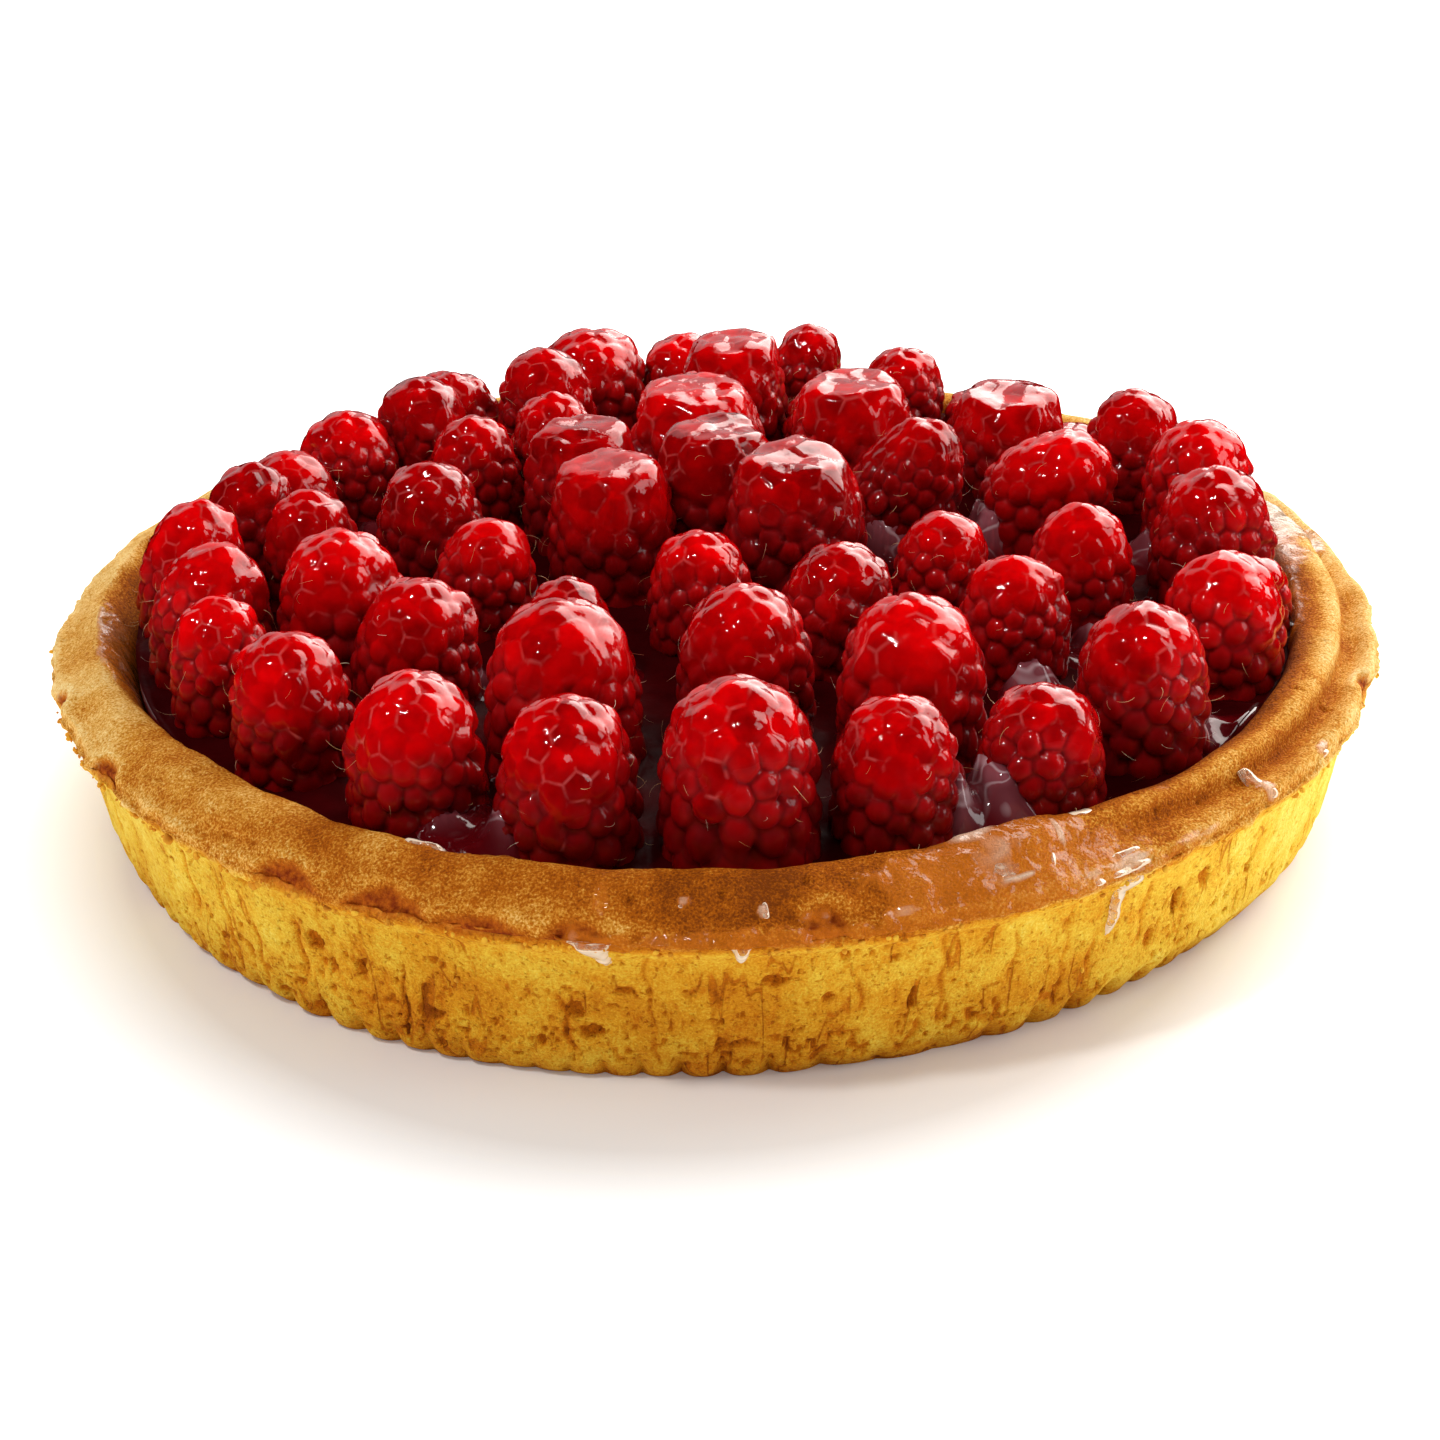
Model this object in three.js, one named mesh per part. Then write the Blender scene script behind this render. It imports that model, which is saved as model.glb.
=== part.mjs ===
// A raspberry tart: a shortcrust shell, a set filling, and raspberries standing in it.
// Millimetres, +Z up. The origin is the middle of the shell's underside, which rests on z = 0.
import * as THREE from "three";
import { ConvexHull } from "three/addons/math/ConvexHull.js";

// The shell
const lipRadius = 110; // the widest part, a flange that overhangs the wall
const lipHeight = 25.2; // underside of the flange
const footRadius = 103; // the wall just above the base
const wallTopRadius = 106.6;
const crestHeight = 31.2; // the rim's highest line, on average
const crestOuterRadius = 103;
const crestInnerRadius = 98.6;
const crestTilt = 1.5; // the rim is higher by this at the front and lower by it at the back
const lipDroop = 1.6; // how much the flange sags, and a third as much again at the back
const rimShift = 2.8; // the rim's flat top is wider by this towards +X and narrower towards -X
const broadTurn = 219; // and wider about this angle, in degrees
const broadSpread = 24; // over about this many degrees to each side
const broadExtra = 4.2;
const slimTurn = 314; // and narrower about this angle
const slimSpread = 17;
const slimExtra = 1.8;
const bowlRadius = 95.4; // the inside at the filling's level
const floorRadius = 91;
const floorThickness = 5;
const raggedness = 0.7; // how far the lip and the crest wander from a true circle
const pleatDepth = 0.9; // the upright creases that the tin's lining left in the wall
const flangeSag = 1.5; // the slope outside the crest is hollow towards +X by this
const wornTurn = 315; // the base's edge is worn away about this angle, in degrees
const wornSpread = 22; // over about this many degrees to each side
const wornLift = 2;
const shellSteps = 90;

// The filling
const fillingLevel = 26.5;
const fillingSteps = 60;

// The raspberries
const clearance = 0.3; // between pieces that touch
const creaseDepth = 0.6; // how far the creases between drupelets lie inside the facets
const plateauShare = 0.88; // how much of its height a flat-topped berry keeps
const sunkShare = 0.1; // how much of its height a leaning berry loses in the filling
const pressReach = 40; // berries with their middles further apart than this never touch
const goldenAngle = 137.5; // each berry is turned by this from the one before

// A berry from foot to tip: share of its height, share of half its width, drupelets in the row.
const drupeletRows = [
  [0, 0.64, 8],
  [0.25, 0.97, 8],
  [0.53, 0.98, 8],
  [0.85, 0.7, 6],
  [1, 0, 1],
];

// Each berry is x and y of its middle, its width and its height.
const uprightBerries = [
  // near the wall, from the left round the front to the right and over the far side
  [-77, -37, 17, 21],
  [-64, -54, 19.5, 22.5],
  [-44, -72, 21, 24],
  [-21.5, -82, 21.5, 24.5],
  [3, -83, 24, 27],
  [25.5, -80, 19.5, 22.5],
  [47, -73, 19.5, 20],
  [64, -55.5, 21.5, 24.5],
  [80, -32, 20, 22],
  [87.5, -16, 13, 14],
  [83, -2, 21.5, 24],
  [84, 19.5, 20, 24],
  [76, 42.5, 18.5, 21],
  [67, 56, 16, 9],
  [52, 73, 18, 10],
  [37, 75.5, 17, 18],
  [21, 66, 16, 14],
  [-4.5, 87, 19, 17.5],
  [-22, 82.5, 23, 20.5],
  [-48.5, 70.5, 19.5, 17],
  [-52.5, 55, 18.5, 22],
  [-65, 46, 20, 19],
  [-74, 31, 18, 17.5],
  // inside that ring
  [-67.5, 6, 17, 20.5],
  [-48, 14, 19.5, 22],
  [-59.5, -20.5, 22, 24.5],
  [-23, -55, 24.5, 27],
  [4.5, -46.5, 22, 25],
  [29.5, -55, 23.5, 26.5],
  [47.5, -27, 18, 20],
  [60.5, -8, 18, 20.5],
  [-42, 40, 18, 20],
  [-28, 48, 17.5, 21],
  [-30.5, 66, 19, 23],
  // about the middle
  [-23.5, -25, 15, 17],
  [-2, -14, 18, 20],
  [38, -6.5, 17, 19],
];
const flatToppedBerries = [
  [14, 4.5, 25, 29.5],
  [-17, 10, 23, 26],
  [1, 21, 23, 28],
  [-22.5, 29.5, 22, 25],
  [-2.5, 43.5, 26, 27],
  [25.5, 43.5, 24, 27.5],
  [54.5, 52, 23.5, 20.5],
  [4.5, 71.5, 22, 25],
];
// A leaning berry also has its angle from upright and the way it leans, in degrees.
const leaningBerries = [
  [-86, -3, 18, 25, 13, 0],
  [-80.5, -21, 19.5, 24.5, 15, 0],
  [-79, 14, 17.5, 24.5, 12, 0],
  [19, 88, 15, 20, 10, -10],
  [-37.5, -4.5, 17.5, 20, 14, -20],
  [-46.5, -33.5, 20.5, 23, 10, -20],
  [20, -22, 19.5, 22, 15, -30],
  [34, 25, 18, 27, 32, -20],
  [59, 23, 20, 26, 50, -30],
];

const radians = THREE.MathUtils.degToRad;
const fullTurn = 2 * Math.PI;
const footLevel = fillingLevel + clearance;
const berries = [
  ...uprightBerries.map((berry) => describe(berry, {})),
  ...flatToppedBerries.map((berry) => describe(berry, { topShare: plateauShare })),
  ...leaningBerries.map((berry) => describe(berry, { lean: berry[4], toward: berry[5] })),
];

function describe([x, y, width, height], { topShare = 1, lean = 0, toward = 0 }) {
  return { x, y, width, height, topShare, lean, toward };
}

// A line from -1 to 1 that never repeats within one turn; each kind gives another line.
function wander(turn, kind) {
  const slow = Math.sin(5 * turn + 2.1 * kind);
  const middling = Math.sin(13 * turn + 4.7 * kind);
  const fast = Math.sin(29 * turn + 1.3 * kind);
  return 0.4 * slow + 0.3 * middling + 0.3 * fast;
}

function crestLevel(turn) {
  return crestHeight - crestTilt * Math.sin(turn);
}

function crestInside(turn) {
  const broad = broadExtra * Math.exp(-(((turn - radians(broadTurn)) / radians(broadSpread)) ** 2));
  const slim = slimExtra * Math.exp(-(((turn - radians(slimTurn)) / radians(slimSpread)) ** 2));
  return crestInnerRadius - rimShift * Math.cos(turn) - broad + slim;
}

// The inside of the shell at a height, from the filling's level up to the crest.
function bowlInside(height, turn) {
  const climb = (height - fillingLevel) / (crestLevel(turn) - 1.2 - fillingLevel);
  return THREE.MathUtils.lerp(bowlRadius, crestInside(turn), THREE.MathUtils.clamp(climb, 0, 1));
}

// The shell's section at one angle, from the underside's edge over the rim to the floor's edge.
function shellSection(turn) {
  const pleat = pleatDepth * Math.max(0, wander(turn, 1));
  const lip = raggedness * wander(turn, 2);
  const crest = crestLevel(turn) + 0.5 * raggedness * wander(turn, 3);
  const inside = crestInside(turn);
  const worn = Math.exp(-(((turn - radians(wornTurn)) / radians(wornSpread)) ** 2));
  const toeLift = 1.1 * Math.max(0, wander(turn, 4)) + wornLift * worn;
  const hollow = flangeSag * Math.max(0, Math.cos(turn));
  const flange = lipHeight - lipDroop * Math.max(0, Math.sin(turn) + 0.35) + 0.6 * lip;
  return [
    [footRadius - 1.7 - 0.8 * toeLift, 0],
    [footRadius - 0.5 - pleat - 0.5 * worn, 1 + toeLift],
    [footRadius + 0.4 - pleat, 5],
    [THREE.MathUtils.lerp(footRadius, wallTopRadius, 0.5) - pleat, 13],
    [wallTopRadius - 0.6 * pleat, 22.5],
    [lipRadius - 1.1 + lip, flange - 0.3],
    [lipRadius + lip, flange + 1.4],
    [lipRadius - 2.2 + lip, flange + 3.2],
    [THREE.MathUtils.lerp(crestOuterRadius, lipRadius, 0.32), crest - 1.7 - hollow],
    [crestOuterRadius - 0.4, crest],
    [inside + 1.2, crest],
    [inside, crest - 1.2],
    [bowlRadius, fillingLevel],
    [floorRadius, floorThickness],
  ];
}

// The same solid of revolution for the shell and the filling, closed at the axis at both ends.
function turned(section, steps) {
  const rings = [];
  for (let step = 0; step < steps; step++) rings.push(section((fullTurn * step) / steps));
  const rows = rings[0].length;
  const positions = [];
  rings.forEach((ring, step) => {
    const turn = (fullTurn * step) / steps;
    for (const [radius, height] of ring) {
      positions.push(radius * Math.cos(turn), radius * Math.sin(turn), height);
    }
  });
  const underside = steps * rows;
  const inside = underside + 1;
  positions.push(0, 0, rings[0][0][1]);
  positions.push(0, 0, rings[0][rows - 1][1]);
  const faces = [];
  for (let step = 0; step < steps; step++) {
    const here = step * rows;
    const next = ((step + 1) % steps) * rows;
    faces.push(underside, next, here);
    for (let row = 0; row < rows - 1; row++) {
      faces.push(here + row, next + row, next + row + 1);
      faces.push(here + row, next + row + 1, here + row + 1);
    }
    faces.push(inside, here + rows - 1, next + rows - 1);
  }
  return closedGeometry(positions, faces);
}

function closedGeometry(positions, faces) {
  const geometry = new THREE.BufferGeometry();
  geometry.setAttribute("position", new THREE.Float32BufferAttribute(positions, 3));
  geometry.setIndex(faces);
  geometry.computeVertexNormals();
  return geometry;
}

function fillingSection() {
  return [
    [floorRadius - clearance - 0.2, floorThickness + clearance],
    [bowlRadius - clearance - 0.2, fillingLevel - 0.6],
    [bowlRadius - clearance - 1, fillingLevel],
    [0.6 * bowlRadius, fillingLevel],
  ];
}

// The drupelets as points on a unit ball, and the triangles of neighbours between them. The first
// point is the middle of the foot, which is no drupelet.
function drupeletNet() {
  const points = [new THREE.Vector3(0, 0, -1)];
  const places = [[0, 0, 0]];
  drupeletRows.forEach(([heightShare, widthShare, count], row) => {
    const polar = (Math.PI * (drupeletRows.length - 1 - row)) / drupeletRows.length;
    for (let i = 0; i < count; i++) {
      const turn = (fullTurn * (i + 0.5 * (row % 2))) / count;
      const around = Math.sin(polar);
      points.push(new THREE.Vector3(around * Math.cos(turn), around * Math.sin(turn), Math.cos(polar)));
      places.push([heightShare, widthShare, turn]);
    }
  });
  const hull = new ConvexHull().setFromPoints(points);
  const corners = (face) => [face.edge, face.edge.next, face.edge.prev].map((edge) => edge.head().point);
  const triangles = hull.faces.map((face) => corners(face).map((point) => points.indexOf(point)));
  return { places, triangles };
}

// The drupelets of one berry before anything presses on it, measured from the middle of its foot.
function freeDrupelets(berry, places, index) {
  const toward = radians(berry.toward);
  const leanAxis = new THREE.Vector3(-Math.sin(toward), Math.cos(toward), 0);
  const middle = new THREE.Vector3(0, 0, berry.height / 2);
  const drupelets = places.map(([heightShare, widthShare, turn]) => {
    const around = turn + radians(goldenAngle * index);
    const reach = 0.5 * berry.width * widthShare;
    const height = berry.height * Math.min(heightShare, berry.topShare);
    const point = new THREE.Vector3(reach * Math.cos(around), reach * Math.sin(around), height);
    return point.sub(middle).applyAxisAngle(leanAxis, radians(berry.lean)).add(middle);
  });
  if (berry.lean) {
    const lowest = Math.min(...drupelets.map((point) => point.z));
    for (const point of drupelets) {
      point.z = Math.max(0, point.z - lowest - sunkShare * berry.height);
    }
  }
  return drupelets;
}

// How far towards each neighbour a berry may reach before the two press flat on each other.
function pressedSides(berry) {
  const sides = [];
  for (const other of berries) {
    const gap = new THREE.Vector2(other.x - berry.x, other.y - berry.y);
    const distance = gap.length();
    if (other === berry || distance > pressReach) continue;
    const limit = (distance * berry.width) / (berry.width + other.width) - clearance / 2;
    sides.push({ direction: gap.normalize(), limit });
  }
  return sides;
}

// The share of its way out from the berry's middle line that a point keeps beside the neighbours
// and the shell.
function keptShare(point, berry, sides) {
  const outwards = new THREE.Vector2(point.x, point.y);
  const shares = [1];
  for (const { direction, limit } of sides) {
    const reach = outwards.dot(direction);
    if (reach > limit) shares.push(limit / reach);
  }
  const middle = new THREE.Vector2(berry.x, berry.y);
  const turn = middle.clone().add(outwards).angle();
  const height = point.z + footLevel;
  if (height < crestLevel(turn) + 1) {
    shares.push(shareWithin(middle, outwards, bowlInside(height, turn) - clearance - 0.1));
  }
  return Math.min(...shares);
}

// Where a way out from a middle meets a circle about the origin, as a share of the way's length.
function shareWithin(middle, outwards, radius) {
  if (middle.clone().add(outwards).length() <= radius) return 1;
  const square = outwards.lengthSq();
  const along = middle.dot(outwards);
  const inside = middle.lengthSq() - radius ** 2;
  return (Math.sqrt(along ** 2 - square * inside) - along) / square;
}

function raspberryGeometry(berry, index, { places, triangles }) {
  const sides = pressedSides(berry);
  const drupelets = freeDrupelets(berry, places, index);
  for (const point of drupelets) {
    const share = keptShare(point, berry, sides);
    point.x *= share;
    point.y *= share;
  }
  const positions = drupelets.flatMap((point) => point.toArray());
  const faces = [];
  for (const triangle of triangles) {
    if (triangle.includes(0)) {
      faces.push(...triangle);
      continue;
    }
    const [a, b, c] = triangle.map((corner) => drupelets[corner]);
    const crease = new THREE.Triangle(a, b, c).getMidpoint(new THREE.Vector3());
    const inwards = new THREE.Vector3(0, 0, berry.height / 2).sub(crease).setLength(creaseDepth);
    positions.push(...crease.add(inwards).toArray());
    const bottom = positions.length / 3 - 1;
    for (let side = 0; side < 3; side++) faces.push(triangle[side], triangle[(side + 1) % 3], bottom);
  }
  return closedGeometry(positions, faces);
}

function piece(name, geometry, color, roughness) {
  const material = new THREE.MeshStandardMaterial({ color, roughness, metalness: 0 });
  const mesh = new THREE.Mesh(geometry, material);
  mesh.name = name;
  return mesh;
}

const tart = new THREE.Group();
tart.add(piece("crust", turned(shellSection, shellSteps), 0xd49a3a, 0.85));
tart.add(piece("filling", turned(fillingSection, fillingSteps), 0x5a1712, 0.2));
const net = drupeletNet();
berries.forEach((berry, index) => {
  const name = `raspberry_${String(index + 1).padStart(2, "0")}`;
  const raspberry = piece(name, raspberryGeometry(berry, index, net), 0xa80e1b, 0.25);
  raspberry.position.set(berry.x, berry.y, footLevel);
  tart.add(raspberry);
});

export default tart;
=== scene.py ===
import math
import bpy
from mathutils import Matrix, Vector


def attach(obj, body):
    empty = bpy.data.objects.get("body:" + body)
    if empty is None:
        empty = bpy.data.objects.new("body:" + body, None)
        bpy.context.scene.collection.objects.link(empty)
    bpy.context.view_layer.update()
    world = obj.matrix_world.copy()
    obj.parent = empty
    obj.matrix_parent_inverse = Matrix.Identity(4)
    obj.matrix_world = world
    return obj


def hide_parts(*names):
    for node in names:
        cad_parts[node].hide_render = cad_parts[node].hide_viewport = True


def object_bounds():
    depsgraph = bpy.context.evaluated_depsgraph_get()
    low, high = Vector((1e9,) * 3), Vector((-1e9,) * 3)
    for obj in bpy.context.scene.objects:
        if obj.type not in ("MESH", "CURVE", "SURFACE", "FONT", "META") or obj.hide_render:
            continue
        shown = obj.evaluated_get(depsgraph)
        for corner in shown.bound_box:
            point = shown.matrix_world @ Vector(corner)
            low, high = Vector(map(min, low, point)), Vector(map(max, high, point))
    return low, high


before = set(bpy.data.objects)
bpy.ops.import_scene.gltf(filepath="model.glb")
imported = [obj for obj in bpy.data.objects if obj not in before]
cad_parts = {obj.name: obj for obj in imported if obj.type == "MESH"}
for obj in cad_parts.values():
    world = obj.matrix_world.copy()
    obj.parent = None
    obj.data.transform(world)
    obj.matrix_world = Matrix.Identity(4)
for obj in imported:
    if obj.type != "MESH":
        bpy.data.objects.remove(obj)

from types import SimpleNamespace

import bmesh
import bpy
import numpy as np
from mathutils import Matrix

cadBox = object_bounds()
mm = 0.001


def hexColour(text):
    # sRGB hex to the linear colour that the shaders want
    parts = [int(text[i:i + 2], 16) / 255 for i in (1, 3, 5)]
    return [p / 12.92 if p <= 0.04045 else ((p + 0.055) / 1.055) ** 2.4 for p in parts] + [1]


def addNode(tree, kind, inputs=None, stops=None, **settings):
    # inputs: socket name or number -> a value, a socket, or a node whose first live output is meant
    # stops: a ramp's places and colours; settings: the node's own
    node = tree.nodes.new("ShaderNode" + kind)
    for name, value in settings.items():
        setattr(node, name, value)
    for key, value in (inputs or {}).items():
        if isinstance(value, bpy.types.Node):
            value = next(output for output in value.outputs if output.enabled)
        if isinstance(value, bpy.types.NodeSocket):
            tree.links.new(value, node.inputs[key])
        else:
            node.inputs[key].default_value = value
    for place, colour in stops or []:
        ramp = node.color_ramp.elements
        end = {stops[0][0]: 0, stops[-1][0]: len(ramp) - 1}
        stop = ramp[end[place]] if place in end else ramp.new(place)
        stop.position = place
        stop.color = hexColour(colour)
    return node


def startMaterial(name):
    # the material, its nodes, and the place on the piece that patterns are drawn at
    material = bpy.data.materials.new(name)
    material.use_nodes = True
    tree = material.node_tree
    tree.nodes.clear()
    return material, tree, addNode(tree, "TexCoord").outputs["Object"]


def readAttributes(tree, *names):
    return {name: addNode(tree, "Attribute", attribute_name=name).outputs["Fac"] for name in names}


def cellValue(cells, seed):
    # one number from 0 to 1 for each whole-numbered cell
    x, y, z = (cells[..., i] for i in range(3))
    mixed = (x * 73856093) ^ (y * 19349663) ^ (z * 83492791) ^ (seed * 40503)
    mixed = ((mixed ^ (mixed >> 13)) * 1274126177) & 0xFFFFFFFF
    mixed = ((mixed ^ (mixed >> 15)) * 2246822519) & 0xFFFFFFFF
    return ((mixed ^ (mixed >> 16)) & 0xFFFFFF) / 0xFFFFFF


def lumps(points, size, seed):
    # smooth unevenness from -1 to 1, with lumps of about that size; points and size in the same unit
    scaled = points / size + 100.37
    base = np.floor(scaled).astype(np.int64)
    part = scaled - base
    part = part * part * (3 - 2 * part)
    total = np.zeros(points.shape[:-1])
    for corner in np.ndindex(2, 2, 2):
        share = np.prod(np.where(corner, part, 1 - part), axis=-1)
        total += share * cellValue(base + np.array(corner), seed)
    return 2 * total - 1


def smoothShare(value, low, high):
    share = np.clip((value - low) / (high - low), 0, 1)
    return share * share * (3 - 2 * share)


def window(value, low, lowFull, highFull, high):
    # from 0 up to 1 and back to 0
    return smoothShare(value, low, lowFull) * (1 - smoothShare(value, highFull, high))


def peak(value, width):
    # 1 where the value is 0, fading over that width either way
    return np.exp(-(value / width) ** 2)


def insideCad(points, margin=0):
    # moves points in sideways where they would pass the CAD's box; in mm
    low, high = (np.array(corner) / mm for corner in cadBox)
    points[..., :2] = np.clip(points[..., :2], low[:2] + margin, high[:2] - margin)


def makePiece(name, points, faces, material, attributes=None, nodes=()):
    # points in millimetres; faces as rows of corner numbers
    mesh = bpy.data.meshes.new(name)
    mesh.from_pydata((points * mm).tolist(), [], faces.tolist())
    mesh.polygons.foreach_set("use_smooth", np.ones(len(mesh.polygons), bool))
    for key, values in (attributes or {}).items():
        layer = mesh.attributes.new(key, "FLOAT", "POINT")
        layer.data.foreach_set("value", np.asarray(values, np.float32))
    mesh.materials.append(material)
    mesh.update()
    piece = bpy.data.objects.new(name, mesh)
    bpy.context.scene.collection.objects.link(piece)
    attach(piece, "root")
    if nodes:
        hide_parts(*nodes)
    return piece


def closedSheet(top, bottom):
    # one closed body from two grids of points, rows by columns; top faces out
    rows, columns = top.shape[:2]
    index = np.arange(rows * columns).reshape(rows, columns)
    a, b, c, d = index[:-1, :-1], index[:-1, 1:], index[1:, 1:], index[1:, :-1]
    upper = np.concatenate([np.stack(corners, -1).reshape(-1, 3) for corners in ((a, b, c), (a, c, d))])
    lower = upper[:, ::-1] + rows * columns
    edge = np.concatenate([index[0, :-1], index[:-1, -1], index[-1, :0:-1], index[:0:-1, 0]])
    after = np.roll(edge, -1)
    wall = np.concatenate([np.stack([edge, edge + rows * columns, after + rows * columns], -1),
                           np.stack([edge, after + rows * columns, after], -1)])
    points = np.concatenate([top.reshape(-1, 3), bottom.reshape(-1, 3)])
    return points, np.concatenate([upper, lower, wall])


def roundGrid(edge, cell, steps):
    # the angles of the steps, and a round field's points, ring by ring
    turn = np.arange(steps) * 2 * math.pi / steps
    radii = np.linspace(0, edge, int(edge / cell) + 1)[1:]
    return turn, np.outer(radii, np.cos(turn)), np.outer(radii, np.sin(turn))


def closedDisc(turn, x, y, height, footRadius, footLevel):
    # one closed body: a round field on top, a wall at its edge and a flat foot
    rings, steps = x.shape
    top = np.stack([x, y, height], -1).reshape(-1, 3)
    foot = np.stack([footRadius * np.cos(turn), footRadius * np.sin(turn), np.full(steps, footLevel)], -1)
    points = np.concatenate([top, [[0, 0, height[0].mean()]], foot, [[0, 0, footLevel]]])
    here, after = np.arange(steps), (np.arange(steps) + 1) % steps
    start = len(top) + 1
    faces = [np.stack([np.full(steps, len(top)), here, after], -1)]
    for ring in range(rings - 1):
        a, b = ring * steps + here, ring * steps + after
        faces += [np.stack([a, a + steps, b + steps], -1), np.stack([a, b + steps, b], -1)]
    rim = (rings - 1) * steps
    faces += [
        np.stack([rim + here, start + here, start + after], -1),
        np.stack([rim + here, start + after, rim + after], -1),
        np.stack([np.full(steps, start + steps), start + after, start + here], -1),
    ]
    return points, np.concatenate(faces)


# the crust

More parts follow.
